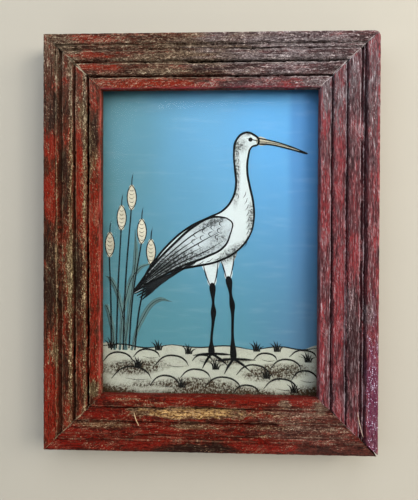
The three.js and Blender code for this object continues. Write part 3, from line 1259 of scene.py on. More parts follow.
    def _groove_weights(self, section: list[Spot], shares: tuple[float, ...], seed: float,
                        closing: float) -> list[float]:
        """How strongly each vertex follows a change made down in the grooves.

        Args:
            section: each vertex's place along, across and above the back of a full rail.
            shares: the strength in each groove, from the outer edge inwards.
            seed: picks where along the grooves the change comes and goes.
            closing: how much stronger the change is where the rail's grooves close up.

        Returns:
            One weight for each vertex.
        """
        weights = []
        for along, across, height in section:
            index, depth = self.moulding.groove_at(across, height)
            if index < 0 or depth == 0.0:
                weights.append(0.0)
                continue
            luck = wave(along * 0.045, index * 3.7, seed) + 0.35 * wave(along * 0.35, index * 2.3, seed + 1)
            if self.closing:
                luck += closing * smooth_step(along, *self.closing)
            weights.append(depth * smooth_step(luck + shares[index], 0.25, 0.75))
        return weights

    def _off_mitre(self, along: float, across: float) -> tuple[Joint, float]:
        """The joint nearer to a place, and the place's distance from its mitre along the rail."""
        half = self.length / 2
        joint = self.start if along < half else self.end
        return joint, half - abs(along - half) - across * self.neighbour_width / self.width

    def _joint_luck(self, along: float, across: float) -> float:
        """How plainly the dark line of the nearer joint shows at a distance in, from 0 to 1."""
        joint, _ = self._off_mitre(along, across)
        return joint.groove * smooth_step(wave(across * 0.25, joint.pale_from, 5.5), -0.3, 0.3)

    def _joint_sink(self, along: float, across: float, height: float) -> float:
        """How far the nearer joint has sunk at a place, in millimetres."""
        if self._off_mitre(along, across)[1] < self.joint_half_width and height > self.front[0]:
            return self._joint_luck(along, across)
        return 0.0

    def _mitre_width(self, along: float, across: float, height: float) -> float:
        """How wide the pale broken wood shows beside the nearer joint, in millimetres."""
        joint, _ = self._off_mitre(along, across)
        within = smooth_step(across, joint.pale_from - 1, joint.pale_from + 1)
        within *= 1 - smooth_step(across, joint.pale_to - 1, joint.pale_to + 1)
        luck = smooth_step(wave(across * 0.3, self.seed * 3.1, joint.pale_from) + joint.pale, 0.1, 0.9)
        return joint.pale_width * 1.5 * within * luck * self._in_front(height)

    def _turn_to_place(self) -> None:
        """Turns the rail to its side of the frame, marks its coats and sinks its bare flakes."""
        self.piece.rotation_euler = (0, -self.side.value * math.pi / 2, 0)
        self.piece.location = (0, 0, SIZES.middle * MM)
        settle(self.piece)
        spots = [(v.co.x / MM, v.co.z / MM - SIZES.middle) for v in self.piece.data.vertices]
        for coat in Coat:
            mine = [patch for patch in self.patches if patch.coat is coat]
            self._note(coat.value, [
                max((patch.weight(*spot, self.side.upright, self.seed) for patch in mine), default=0.0)
                for spot in spots
            ])
        bare = self.piece.data.attributes[Coat.BARE.value].data
        front = -SIZES.depth / 2 * MM
        flakes = [
            mark.value if vertex.co.y < front else 0.0
            for mark, vertex in zip(bare, self.piece.data.vertices)
        ]
        self._push("flaking", flakes, "Y", 0.45)
        make_active(self.piece)
        bpy.ops.object.shade_smooth_by_angle(angle=math.radians(self.sharp_angle))


BOTTOM_PATCHES = patches(
    red=(
        (-9, -88.6, 18, 3.1), (28, -88.0, 13, 3.2), (52, -88.5, 8, 3.0, 0.7), (-48, -88.6, 15, 2.6, 0.6),
        (-26, -106.3, 12, 2.0), (-32, -112.0, 14, 3.0), (30, -112.0, 14, 3.2), (-58, -97.0, 13, 2.6, 0.5),
        (-78, -110.0, 12, 5.0, 0.8),
    ),
    brown=((55, -103.0, 30, 9.0, 0.3), (-8, -114.5, 20, 2.8, 1.6), (70, -112.0, 22, 4.5, 0.45)),
    grey=(
        (-42, -90.6, 15, 2.4, 0.5), (43, -90.9, 4, 2.5), (-40, -96.8, 7, 3.1, 0.6),
        (-9, -103.0, 12, 2.2, 0.7), (-62, -103.0, 17, 2.2, 0.6), (48, -98.2, 22, 6.5, 0.52),
        (52, -104.0, 34, 5.0, 0.45), (63, -91.5, 4, 4.2, 1.1),
    ),
    bare=((-9, -96.3, 26, 2.5),),
)
RIGHT_PATCHES = patches(
    red=(
        (80, -8, 3, 12), (72, 50, 4, 22, 0.6), (72, -30, 4, 35, 0.5), (64, 68, 3, 6, 1.3),
        (62.3, 76, 1.0, 14, 1.6), (92.5, 62, 1.2, 40, 0.9), (65, 20, 3, 20, 0.8), (63, -60, 2, 25, 0.8),
    ),
    brown=((79, -56, 4, 30, 0.9), (79, 66, 4, 22, 0.5)),
    grey=(
        (89, 80, 4, 36, 0.6), (88, 10, 2, 50, 0.35), (88, -38, 3, 8, 0.8), (79, 92, 4, 14, 0.65),
        (78, -36, 3, 12, 0.6), (65, 84, 3, 12, 0.8), (65, 52, 3, 10, 0.4), (66, -60, 2, 20, 0.5),
        (71.5, 76, 4, 18, 0.55), (64, 4, 3, 34, 0.35),
    ),
    # the glossy patch, with its painted violet sheen and glints
    glossy=((90, -85, 4, 38),),
)
TOP_PATCHES = patches(
    red=(
        (-72, 113.8, 8, 3.0, 0.6), (-68, 105.6, 14, 2.5, 0.9), (-64, 99.2, 12, 2.0),
        (-34, 89.0, 36, 3.6, 1.1), (45, 89.3, 7, 3.0),
    ),
    brown=((4, 98.2, 22, 2.6, 0.6), (55, 105.0, 42, 12, 0.3)),
    grey=(
        (24, 112.0, 60, 5.5, 0.62), (0, 103.4, 40, 3.4, 1.3), (50, 102.8, 30, 3.0, 0.9),
        (60, 89.0, 16, 3.5, 0.45), (-28, 97.5, 16, 3.0, 0.6), (48, 102.0, 22, 3.5, 0.55),
        (30, 97.0, 32, 2.0, 0.4), (-86, 110.0, 11, 10, 0.6),
    ),
)
LEFT_PATCHES = patches(
    red=(
        (-89, 53.6, 4, 7), (-89, 26.2, 4, 13, 1.2), (-89, -88, 4, 28, 0.9), (-80.5, 62, 2, 10, 0.7),
        (-74, 38, 2.5, 26), (-66, -8, 4, 42, 0.6), (-66, -68, 4, 16, 0.7),
    ),
    brown=(
        (-89, 74, 4, 12, 0.8), (-89, -18, 4, 28), (-81, 40, 2.5, 34, 0.7), (-81, -72, 3, 24, 0.4),
        (-74, -22, 2.5, 28, 0.9), (-66, 60, 4, 12, 0.6),
    ),
    grey=(
        (-87, -62, 3, 8, 0.6), (-79, -16, 4, 20, 0.6), (-73, 72, 3, 12, 0.6), (-67, 52, 3, 18, 0.55),
        (-66, -83.5, 4, 5), (-88, 106, 10, 15, 0.6),
    ),
)

CROSS_BANDS = (
    Band(0, 6.4, 20.0, 1.5, 0.6, 17.9), Band(6.8, 9.2, 18.8, 0.5, 0.6, 16.4),
    Band(9.7, 16.1, 18.2, 0.5, 1.2, 14.8), Band(17.0, 24.2, 16.6, 0.5, 1.2, 13.2),
    Band(25.2, 30.8, 15.2, 0.5, 0.8, 7.3),
)
RIGHT_BANDS = (
    Band(0, 7.0, 20.0, 1.5, 0.6, 16.6), Band(8.0, 8.7, 17.8, 0.3, 0.3, 16.4),
    Band(10.0, 16.8, 18.2, 0.4, 0.8, 15.6), Band(17.5, 24.5, 16.6, 0.4, 0.8, 13.6),
    Band(25.3, 30.8, 15.2, 0.4, 0.8, 7.3),
)
LEFT_BANDS = (
    Band(0, 6.8, 20.0, 1.5, 0.5, 18.6), Band(7.0, 7.9, 19.2, 0.3, 0.4, 16.6),
    Band(10.2, 15.9, 18.2, 0.5, 1.2, 14.9), Band(17.4, 23.3, 16.6, 0.5, 1.2, 13.2),
    Band(24.7, 30.8, 15.2, 0.5, 0.8, 7.3),
)
LOWER_LEFT_MITRE = Joint(pale=0.3, pale_width=0.5, pale_from=7, pale_to=21, groove=0.3)
LOWER_RIGHT_MITRE = Joint(opening=1.7, opening_run=0.36, opening_floor=7, pale=0.2, pale_width=0.4,
                          pale_from=13, pale_to=24)
WORN_CORNER = Joint(opening=0.5, opening_run=0.35, opening_floor=13, rounding=5.0, pale=0.5,
                    pale_width=0.6, pale_from=12, pale_to=28, groove=0.5)


class Rails:
    """The four rails of the frame, each with its own wear."""

    def build(self) -> None:
        """Builds the rails one after another."""
        for rail in (self.bottom(), self.right(), self.top(), self.left()):
            rail.build()

    @staticmethod
    def bottom() -> Rail:
        """The brightest red rail, with a long bare flake and an open joint at its right end."""
        near = Tones("691006", "3f1007", "210d08", "3a2517", "634731", "b59c7c")
        far = Tones("6c1b14", "4c251e", "2c1714", "412d24", "6c5546", "aa9884")
        paint = RailPaint(near, far, far_from=15, far_to=65, redness=0.12, bareness=-0.04, nose_wear=0.2,
                          arris_wear=0.08, speckle=0.8, rim=0.15, gloss=0.35, hairs=0.08,
                          grime="2e0e08", lip_tone="7c1a10")
        return Rail(Side.BOTTOM, paint, 1.0, CROSS_BANDS, fills=(0.65, 0.6, 0.4, 0.25),
                    cracks=(-0.3, -0.15, -0.1, 0.1), band_wear=(0.6, 0.6, 1.0, 1.0, 0.6),
                    patches=BOTTOM_PATCHES, start=LOWER_LEFT_MITRE, end=LOWER_RIGHT_MITRE,
                    closing=(122, 146), lip_lean=0.8)

    @staticmethod
    def right() -> Rail:
        """The crimson rail, greyer above and glossy below with a painted violet sheen and glints, with its
        upper corner rounded.
        """
        near = Tones("7b2d31", "582b2f", "351e20", "432f31", "6f5b5c", "b6a3a7")
        far = Tones("7a3439", "5a3a3e", "38272a", "43383a", "685f62", "b0a5a9")
        paint = RailPaint(near, far, far_from=20, far_to=95, redness=0.06, bareness=0.0, nose_wear=0.06,
                          arris_wear=0.1, speckle=0.3, rim=0.55, gloss=0.4, hairs=0.38,
                          grime="33191d", lip=0.35, lip_tone="8d6a70", run=3.2)
        return Rail(Side.RIGHT, paint, 2.0, RIGHT_BANDS, fills=(0.1, 0.2, 0.2, 0.0),
                    cracks=(-0.4, -0.3, -0.1, 0.3), band_wear=(0.5, 0.5, 1.0, 1.0, 0.8),
                    patches=RIGHT_PATCHES, start=LOWER_RIGHT_MITRE, end=WORN_CORNER)

    @staticmethod
    def top() -> Rail:
        """The barest rail: grey-brown wood, red only in places, with ragged cracks."""
        near = Tones("762214", "4a261c", "291711", "3c2d24", "605040", "b3a289")
        far = Tones("722a2b", "543839", "352526", "483d3e", "746a6b", "bcb2b1")
        paint = RailPaint(near, far, far_from=-25, far_to=45, redness=0.0, bareness=0.05, nose_wear=0.24,
                          arris_wear=0.14, speckle=0.6, rim=0.3, gloss=0.2, hairs=0.35,
                          grime="2b1a15", lip=0.85, lip_tone="7a2636", scratches=0.6)
        return Rail(Side.TOP, paint, 3.0, CROSS_BANDS, fills=(0.75, 0.65, 0.3, 0.2),
                    cracks=(-0.25, -0.1, 0.2, 0.3), band_wear=(0.8, 0.8, 1.0, 1.0, 0.5),
                    patches=TOP_PATCHES, start=replace(WORN_CORNER, pale=0.7, pale_from=1),
                    end=Joint(pale=0.5, pale_width=0.7, pale_from=10, pale_to=23, groove=0.3),
                    lip_lean=1.2)

    @staticmethod
    def left() -> Rail:
        """The warm brown and red rail with rough khaki inner edges, worn and partly a painted highlight,
        and deep grooves.
        """
        near = Tones("74180a", "481b0d", "27130b", "352718", "5c4d34", "b3a380")
        far = Tones("782317", "4c2b20", "2a1a14", "392b20", "605242", "aca08a")
        paint = RailPaint(near, far, far_from=30, far_to=105, redness=0.05, bareness=-0.02, nose_wear=0.5,
                          arris_wear=0.05, speckle=0.75, rim=0.2, gloss=0.3, hairs=0.12,
                          grime="2a1a10", lip=0.75, lip_tone="a64c44")
        return Rail(Side.LEFT, paint, 4.0, LEFT_BANDS, fills=(0.5, 0.2, 0.0, -0.2),
                    cracks=(-0.3, -0.1, 0.1, 0.6), band_wear=(0.15, 0.7, 1.0, 1.15, 0.2),
                    patches=LEFT_PATCHES,
                    start=Joint(pale=0.6, pale_width=0.9, pale_from=16, pale_to=23, groove=0.3),
                    end=LOWER_LEFT_MITRE)


@dataclass(frozen=True)
class Splinter:
    """A loose sliver of pale wood that lies across the moulding, from one end to the other."""

    name: str
    places: tuple[Spot, ...]
    width: float
    tone: str = "cdb48c"
    taper: float = 0.45

    def build(self) -> None:
        """Bends a thin tapered sliver through its places, in millimetres from the frame's middle."""
        piece = new_piece(self.name, bpy.ops.curve.primitive_bezier_curve_add, radius=1,
                          location=(0, 0, SIZES.middle * MM))
        as_round_bar(piece.data)
        line = piece.data.splines.new("BEZIER")
        line.bezier_points.add(len(self.places) - 1)
        for index, (point, (x, z, height)) in enumerate(zip(line.bezier_points, self.places)):
            point.co = (x * MM, -height * MM, z * MM)
            point.handle_left_type = point.handle_right_type = "AUTO"
            at_end = index in (0, len(self.places) - 1)
            point.radius = self.width / 2 * (self.taper if at_end else 1.0)
        curve_to_mesh(piece)
        dress(piece, self._material())
        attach(piece, BODY)

    def _material(self) -> bpy.types.Material:
        """Pale wood with a fine grain."""
        sheet = Sheet(f"{self.name}_wood")
        grain = sheet.noise(sheet.object_place(), 2200, 2.0)
        colour = Layers(sheet, "8a6b45").over(grain.step(0.3, 0.7), self.tone)
        return sheet.finish(Base_Color=colour, Roughness=0.85)


SPLINTERS = (
    Splinter("splinter_straw", ((-42.3, -95.8, 16.9), (-40.9, -99.6, 18.0), (-39.2, -102.5, 18.7)), 0.7),
    Splinter("splinter_corner", ((82.1, -92.2, 17.9), (83.3, -99.5, 18.7), (84.9, -106.1, 19.6)), 0.6,
             "b9a49c"),
)


@dataclass(frozen=True)
class PaneGlass:
    """Clear window glass, faintly green."""

    tint: Four = (0.97, 0.99, 0.985, 1.0)
    ior: float = 1.5
    roughness: float = 0.01
    cover: float = 0.4

    def material(self) -> bpy.types.Material:
        """Builds the glass from plain values on the shader."""
        return Sheet("pane_glass").finish(Base_Color=self.tint, Roughness=self.roughness, IOR=self.ior,
                                          Transmission_Weight=1.0, Alpha=self.cover)


@dataclass(frozen=True)
class BoardWood:
    """The thin board behind the picture: dull brown wood with an upright grain and stains."""

    light: str = "a3845c"
    dark: str = "6d5236"
    stain: str = "4b3826"

    def material(self) -> bpy.types.Material:
        """Builds the bare wood."""
        sheet = Sheet("board_wood")
        grain = sheet.noise(sheet.object_place(420, 420, 14), 1.0, 5.0, 0.65, 0.6)
        fibres = sheet.noise(sheet.object_place(1800, 1800, 90))
        stains = sheet.noise(sheet.object_place(), 22, 4.0, twist=0.8)
        colour = Layers(sheet, self.dark).over(grain.step(0.35, 0.65), self.light)
        colour.over(fibres.step(0.5, 0.75) * 0.35, self.dark)
        colour.over(stains.step(0.55, 0.75) * 0.6, self.stain)
        return sheet.finish(Base_Color=colour, Roughness=fibres * 0.2 + 0.7,
                            Normal=sheet.bump(fibres, 0.0002))


@dataclass(frozen=True)
class AgedMetal:
    """Old metal with dull spots."""

    name: str
    bright: str
    dull: str
    spots: str
    spotted: float

    def material(self) -> bpy.types.Material:
        """Builds the metal."""
        sheet = Sheet(self.name)
        tarnish = sheet.noise(sheet.object_place(), 260, 4.0)
        pits = sheet.noise(sheet.object_place(), 1400)
        spot = (tarnish + pits).step(1.3 - self.spotted, 1.45 - self.spotted)
        colour = Layers(sheet, self.bright).over(tarnish.step(0.35, 0.65), self.dull).over(spot, self.spots)
        return sheet.finish(Base_Color=colour, Metallic=1.0 - spot * 0.9, Roughness=spot * 0.45 + 0.35,
                            Normal=sheet.bump(pits, 0.0001))


def dress_back() -> None:
    """Gives the board, its nails and the hanger their finishes."""
    steel = AgedMetal("nail_steel", "8d8880", "5f5a54", "5a3520", 0.3).material()
    brass = AgedMetal("hanger_brass", "b0904a", "7a6236", "463c24", 0.15).material()
    finishes = {"backing_board": BoardWood().material(), "board_nail": steel, "hanger_tack": steel,
                "hanger_strip": brass}
    for name, node in frame["nodes"].items():
        for start, finish in finishes.items():
            if name.startswith(start):
                dress(node, finish)


def edge_darkening(sheet: Sheet, power: float = 18.0) -> Value:
    """Soft darkening along the edge of the opening, strongest in its corners.

    Args:
        sheet: the material that gets it.
        power: how squarely the dirt follows the opening.

    Returns:
        The darkening's strength from 0 to 1.
    """
    x, z = sheet.axes()
    half_x, half_z = SIZES.width / 2 - SIZES.upright, SIZES.height / 2 - SIZES.cross
    across = (abs(x) / (half_x * MM)) ** power
    upwards = (abs(z - SIZES.middle * MM) / (half_z * MM)) ** power
    return (across + upwards).step(0.4, 1.5)


@dataclass(frozen=True)
class SkyPaint:
    """A smooth blue ground: teal at the left, brightest right of the middle, and deep at the right beyond a
    step that is the painted edge of a reflection on the glass.
    """

    teal: str = "52868f"
    light: str = "60a4d0"
    bright: str = "57a5dc"
    deep: str = "4890cc"
    low: str = "468089"
    low_right: str = "466e84"
    dirt: str = "2a4448"
    half_width: float = 68.0
    deep_from: float = 46.0
    deep_to: float = 52.0
    low_from: float = -30.0
    low_to: float = -170.0

    def material(self) -> bpy.types.Material:
        """Builds the sky from soft gradients over the picture and faint brush marks."""
        sheet = Sheet("sky_paint")
        x, z = sheet.axes()
        soft = sheet.noise(sheet.object_place(), 16, 2.0, 0.5)
        brushed = sheet.noise(sheet.object_place(40, 1, 260))
        across = x.step(-self.half_width * MM, self.half_width * MM) + (soft - 0.5) * 0.35
        # the step to deep blue at the right: the painted edge of a reflection on the glass
        edge = (x + soft * 0.004).step(self.deep_from * MM, self.deep_to * MM)
        low = z.step(self.low_from * MM, self.low_to * MM)
        lower = Layers(sheet, self.low).over(across.step(0.6, 1.0), self.low_right)
        colour = Layers(sheet, self.teal).over(across.step(-0.1, 0.62), self.light)
        colour.over(across.step(0.5, 0.9), self.bright).over(edge, self.deep).over(low * 0.85, lower)
        # faint brush marks, and darker along the edge of the opening, most in its corners
        colour.over(brushed.step(0.5, 0.75) * 0.04, "ffffff").over(edge_darkening(sheet) * 0.32, self.dirt)
        return sheet.finish(Base_Color=colour, Roughness=0.6)


@dataclass(frozen=True)
class Wash:
    """A soft grey brush wash: its middle, half sizes and turn, in picture millimetres."""

    x: float
    z: float
    half_x: float
    half_z: float
    turn: float = 0.0
    strength: float = 1.0

    def mask(self, sheet: Sheet) -> Value:
        """The wash's strength over the picture, brightest in its middle."""
        place = sheet.put(
            "Mapping", "Vector", {"vector_type": "TEXTURE"}, Vector=sheet.put("TexCoord", "Object"),
            Location=(self.x * MM, 0, (self.z + SIZES.middle) * MM),
            Rotation=(0, -math.radians(self.turn), 0), Scale=(self.half_x * MM, 1, self.half_z * MM),
        )
        spot = sheet.put("TexGradient", "Fac", {"gradient_type": "SPHERICAL"}, Vector=place)
        return Value(sheet, spot) * self.strength


@dataclass(frozen=True)
class WashedPaint:
    """Flat paint with grey washes and fine brush marks.

    The rim is the strength of the darkening along the edge of the opening.
    """

    name: str
    light: str
    dark: str
    washes: tuple[Wash, ...] = ()
    mottle: float = 0.15
    brush_cells: Spot = (300, 1, 900)
    stipple: float = 0.0
    rim: float = 0.0

    def material(self) -> bpy.types.Material:
        """Builds the paint."""
        sheet = Sheet(self.name)
        brush = sheet.noise(sheet.object_place(*self.brush_cells), twist=0.4)
        soft = sheet.noise(sheet.object_place(), 130, rough=0.55)
        shade = (soft - 0.35) * self.mottle
        for wash in self.washes:
            shade += wash.mask(sheet)
        shade *= brush.step(0.3, 0.7) * 0.8 + 0.6
        if self.stipple:
            dabs = sheet.noise(sheet.object_place(), 1100, rough=0.7).step(0.4, 0.6)
            shade *= dabs * (2 * self.stipple) + (1 - self.stipple)
        if self.rim:
            # darker along the edge of the opening, most in its corners
            shade += edge_darkening(sheet) * self.rim
        colour = Layers(sheet, self.light).over(shade.at_most(1.0), self.dark)
        return sheet.finish(Base_Color=colour, Roughness=0.55, Specular_IOR_Level=0.1)


@dataclass(frozen=True)
class Stroke:
    """One brush stroke along a smooth line, in picture millimetres."""

    line: tuple[Place, ...]
    width: float = 0.7
    start_share: float = 0.35
    end_share: float = 0.15

    def half_width(self, share: float) -> float:
        """Half the stroke's width at a share of its length."""
        swell = math.sin(math.pi * min(1.0, max(0.0, share))) ** 0.6
        ends = self.start_share * (1 - share) + self.end_share * share
        return self.width / 2 * (ends + (1 - ends) * swell)


class Behind(Enum):
    """How far each coat of the picture lies behind the pane's back, in millimetres."""

    INK = 0.02
    DETAILS = 0.045
    WING = 0.07
    BODY = 0.095
    THIGHS = 0.12
    BANK = 0.13
    SKY = 0.2


class Film:
    """A very thin layer of one paint behind the pane."""

    THICKNESS = 0.02
    OUTLINE_STEPS = 10
    STROKE_STEPS = 8

    def __init__(self, name: str, behind: Behind) -> None:
        """Starts an empty film.

        Args:
            name: the piece's name.
            behind: how far the film's middle lies behind the pane's back.
        """
        place = (0, (SIZES.pane_back + behind.value) * MM, SIZES.middle * MM)
        self.piece = new_piece(name, bpy.ops.curve.primitive_bezier_curve_add, radius=1,
                               location=place, rotation=(math.pi / 2, 0, 0))

    def _add_line(self, line: Sequence[Place], closed: bool) -> bpy.types.Spline:
        """Adds one smooth line to the curve.

        Args:
            line: its points in picture millimetres.
            closed: True for an outline.

        Returns:
            The new spline.
        """
        spline = self.piece.data.splines.new("BEZIER")
        spline.bezier_points.add(len(line) - 1)
        spline.use_cyclic_u = closed
        for point, (x, z) in zip(spline.bezier_points, line):
            point.co = (x * MM, z * MM, 0)
            point.handle_left_type = point.handle_right_type = "AUTO"
        return spline

    def fill(self, outlines: Sequence[Sequence[Place]], finish: bpy.types.Material) -> None:
        """Paints closed outlines full.

        Args:
            outlines: the points of each, in picture millimetres.
            finish: the paint.
        """
        curve = self.piece.data
        curve.splines.clear()
        curve.dimensions = "2D"
        curve.fill_mode = "BOTH"
        curve.extrude = self.THICKNESS / 2 * MM
        curve.resolution_u = self.OUTLINE_STEPS
        for outline in outlines:
            self._add_line(outline, closed=True)
        self._dry(finish)

    def draw(self, strokes: Sequence[Stroke], finish: bpy.types.Material) -> None:
        """Paints tapered strokes as flat ribbons.

        Args:
            strokes: the strokes, in any order.
            finish: the paint.
        """
        as_round_bar(self.piece.data)
        self.piece.data.resolution_u = self.STROKE_STEPS
        for stroke in strokes:
            spline = self._add_line(stroke.line, closed=False)
            last = len(stroke.line) - 1
            for index, point in enumerate(spline.bezier_points):
                point.radius = stroke.half_width(index / last)
        self.piece.scale = (1, 1, self.THICKNESS)
        self._dry(finish)

    def _dry(self, finish: bpy.types.Material) -> None:
        """Turns the curve into a mesh that rides on the frame."""
        curve_to_mesh(self.piece)
        dress(self.piece, finish)
        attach(self.piece, BODY)


@dataclass(frozen=True)
class Bird:
    """A white wading bird that stands looking right, in picture millimetres."""

    body: tuple[Place, ...] = (
        (21, 64.5), (26, 63), (28.5, 60.5), (28, 57.5), (24.5, 56), (22.5, 50), (22, 42), (23.5, 33),
        (25.5, 24), (26, 14), (23.5, 4), (16, -5), (5, -11), (-8, -14), (-22, -17), (-34, -23),
        (-39, -24.5), (-38, -20), (-33, -12), (-24, -1), (-12, 9), (0, 15), (8, 19), (13.5, 26),
        (15.5, 34), (14.8, 43), (14.2, 52), (15.5, 60),
    )
    wing_top: tuple[Place, ...] = ((10, 14.5), (2, 15), (-9, 9.5), (-21, -1), (-33, -13.5), (-45, -29))
    wing_low: tuple[Place, ...] = ((13, 7), (9, -2), (-2, -8.5), (-15, -13.5), (-29, -20.5), (-45, -30))
    beak: tuple[Place, ...] = (
        (27.5, 61.3), (36, 59.6), (46, 56.6), (56.6, 52.3), (57.1, 52.0), (56.5, 52.0), (46, 55.0),
        (36, 57.3), (27.8, 57.8),
    )
    eye: Place = (23.8, 60.4)
    ink: str = "050607"

    def paint(self) -> None:
        """Paints the bird from its outlines back to its ground colour."""
        ink = WashedPaint("bird_ink", self.ink, "1d2022", mottle=0.4).material()
        Film("painted_bird_lines", Behind.INK).draw(self._lines(), ink)
        Film("painted_bird_legs", Behind.DETAILS).fill(self._leg_shapes(), ink)
        Film("painted_bird_eye", Behind.DETAILS).fill([self._ring(self.eye, 1.25)], ink)
        black = WashedPaint("feather_black", "0b0d0f", "3a3f40", mottle=0.7)
        Film("painted_flight_feathers", Behind.DETAILS).draw(self._dark_feathers(), black.material())
        horn = WashedPaint("beak_paint", "c9c4ae", "6d6a5f", (Wash(36, 56.6, 14, 1.6, -16, 0.9),), 0.3)
        Film("painted_beak", Behind.WING).fill([self.beak], horn.material())
        wing = WashedPaint("wing_paint", "c4d0d3", "474c4c", (
            Wash(-28, -16, 24, 9, 35, 1.3), Wash(-10, -9, 22, 5, 22, 0.8), Wash(6, 3, 9, 7, 40, 0.5),
            Wash(2, 12, 14, 4, 25, 0.9),
        ), 0.35, (500, 1, 500), 0.6)
        Film("painted_wing", Behind.WING).fill([self._wing_outline()], wing.material())
        white = WashedPaint("bird_white", "d3dede", "565a58", (
            Wash(14, -6, 16, 5, 30, 1.1), Wash(25.5, 12, 4, 16, 0, 0.9), Wash(15, 40, 3.4, 22, 0, 1.1),
            Wash(-28, -21, 16, 5, 25, 1.0), Wash(17, 57, 6, 6, 0, 0.8), Wash(20, 64.5, 8, 3, 0, 0.8),
        ), 0.22, stipple=0.6).material()
        Film("painted_bird_body", Behind.BODY).fill([self.body], white)
        Film("painted_bird_thighs", Behind.THIGHS).fill(self._thighs(), white)

    def _wing_outline(self) -> tuple[Place, ...]:
        """The folded wing's closed outline."""
        return (*self.wing_top, *reversed(self.wing_low))

    @staticmethod
    def _ring(centre: Place, radius: float) -> tuple[Place, ...]:
        """Six points round a circle."""
        return tuple(
            (centre[0] + radius * math.cos(i * math.pi / 3), centre[1] + radius * math.sin(i * math.pi / 3))
            for i in range(6)
        )

    @staticmethod
    def _thighs() -> list[tuple[Place, ...]]:
        """The white feathered tops of both legs."""
        return [
            ((-4, -11), (5, -9), (4.5, -18), (2.6, -26), (0.8, -26), (-2, -19)),
            ((6, -8), (15, -3), (14, -13), (12, -22), (10.4, -22), (8.4, -15)),
        ]

    @staticmethod
    def _leg_shapes() -> list[tuple[Place, ...]]:
        """Both legs from the feathers to the ground, thicker at the joints."""
        return [
            ((0.9, -24), (2.7, -24), (3.2, -36), (4.2, -41), (3.4, -46), (2.2, -57), (2.4, -66.5),
             (0.6, -66.5), (0.7, -57), (1.4, -46), (0.9, -41), (1.6, -36)),
            ((10.4, -20), (12.2, -20), (13.6, -31), (15.2, -36.5), (14.8, -42), (14.6, -54), (15.4, -69.5),
             (13.6, -69.5), (13.0, -54), (12.8, -42), (11.9, -36.5), (11.8, -31)),
        ]

    def _dark_feathers(self) -> list[Stroke]:
        """The long dark feathers that show below the wing's lower edge."""
        feathers = []
        for step in range(5):
            root = (-5.0 - 5.5 * step, -9.8 - 2.6 * step)
            tip = (-46.0 + 1.6 * step, -29.5 - 1.1 * step)
            middle = ((root[0] + tip[0]) / 2 - 0.4, (root[1] + tip[1]) / 2 - 1.2)
            feathers.append(Stroke((root, middle, tip), 2.3, 0.3, 0.25))
        return feathers

    def _lines(self) -> list[Stroke]:
        """All the ink lines: outlines, feather lines, small plumes and toes."""
        return [*self._outlines(), *self._feather_lines(), *self._plumes(), *self._toes()]

    def _outlines(self) -> list[Stroke]:
        """The outline in a few overlapping strokes, each swelling in its middle."""
        body = self.body
        runs = ((24, 5), (3, 11), (9, 17), (15, 23), (20, 27))
        strokes = []
        for start, end in runs:
            count = (end - start) % len(body) + 1
            line = tuple(body[(start + i) % len(body)] for i in range(count))
            strokes.append(Stroke(line, 1.3, 0.4, 0.3))
        strokes += [
            Stroke(self.wing_top, 1.5, 0.5, 0.5),
            Stroke(self.wing_low, 1.4, 0.5, 0.5),
            Stroke((self.wing_top[0], (13.4, 11.5), self.wing_low[0]), 0.9, 0.8, 0.8),
            Stroke(self.beak[:5], 0.9, 0.8, 0.3),
            Stroke(tuple(reversed(self.beak[4:])), 0.9, 0.8, 0.3),
            Stroke(((27.6, 59.5), (37, 58.2), (50, 54.9)), 0.45),
            Stroke(((28, 59.6), (25.5, 60.2), (21, 61.2)), 0.6, 0.8, 0.1),
        ]
        for thigh in self._thighs():
            strokes.append(Stroke(thigh[1:4], 0.7, 0.2, 0.6))
            strokes.append(Stroke((thigh[0], thigh[5], thigh[4]), 0.7, 0.2, 0.6))
        return strokes

    def _feather_lines(self) -> list[Stroke]:
        """Long lines down the folded wing, and short rows of scales on its shoulder."""
        strokes = []
        for row, share in enumerate((0.2, 0.36, 0.52, 0.68, 0.84)):
            line = between(self.wing_top, self.wing_low, share)
            strokes.append(Stroke(line[1 + row % 2:], 0.75, 0.2, 0.5))
            strokes.append(Stroke(between(line, self.wing_low, 0.1)[3:], 0.4, 0.2, 0.4))
        for row in range(4):
            for place in range(3 - row % 2):
                x, z = 8.0 - 5.0 * row - 1.2 * place, 11.0 - 2.2 * row - 4.0 * place
                strokes.append(Stroke(((x, z + 1.8), (x - 2.2, z + 0.3), (x - 0.4, z - 1.8)), 0.55))
        return strokes

    def _plumes(self) -> list[Stroke]:
        """Short soft marks down the breast, the belly and the back of the neck."""
        strokes = []
        for i in range(9):
            z = 30 - 3.6 * i
            x = 23.4 - 0.008 * (z - 14) ** 2
            strokes.append(Stroke(((x, z), (x - 0.6, z - 2.2), (x - 1.9, z - 4)), 0.4))
        for i in range(8):
            x, z = 12 - 5.0 * i, -6.8 - 1.25 * i
            strokes.append(Stroke(((x, z), (x - 2.2, z - 1.8), (x - 4.6, z - 2.4)), 0.45))
        for i in range(7):
            z = 54 - 4.2 * i
            strokes.append(Stroke(((16.2, z), (17, z - 1.6), (16.6, z - 3.4)), 0.35))
        return strokes

    @staticmethod
    def _toes() -> list[Stroke]:
        """Three long toes and a short one on each foot."""
        strokes = []
        for x, z in ((1.5, -65.5), (14.5, -68.5)):
            for dx, dz in ((13.0, -0.6), (10.0, -7.4), (-5.5, -9.0), (-11.0, -1.2)):
                bend = (x + dx * 0.5, z + dz * 0.42)
                strokes.append(Stroke(((x, z), bend, (x + dx, z + dz)), 1.5, 0.9, 0.2))
        return strokes


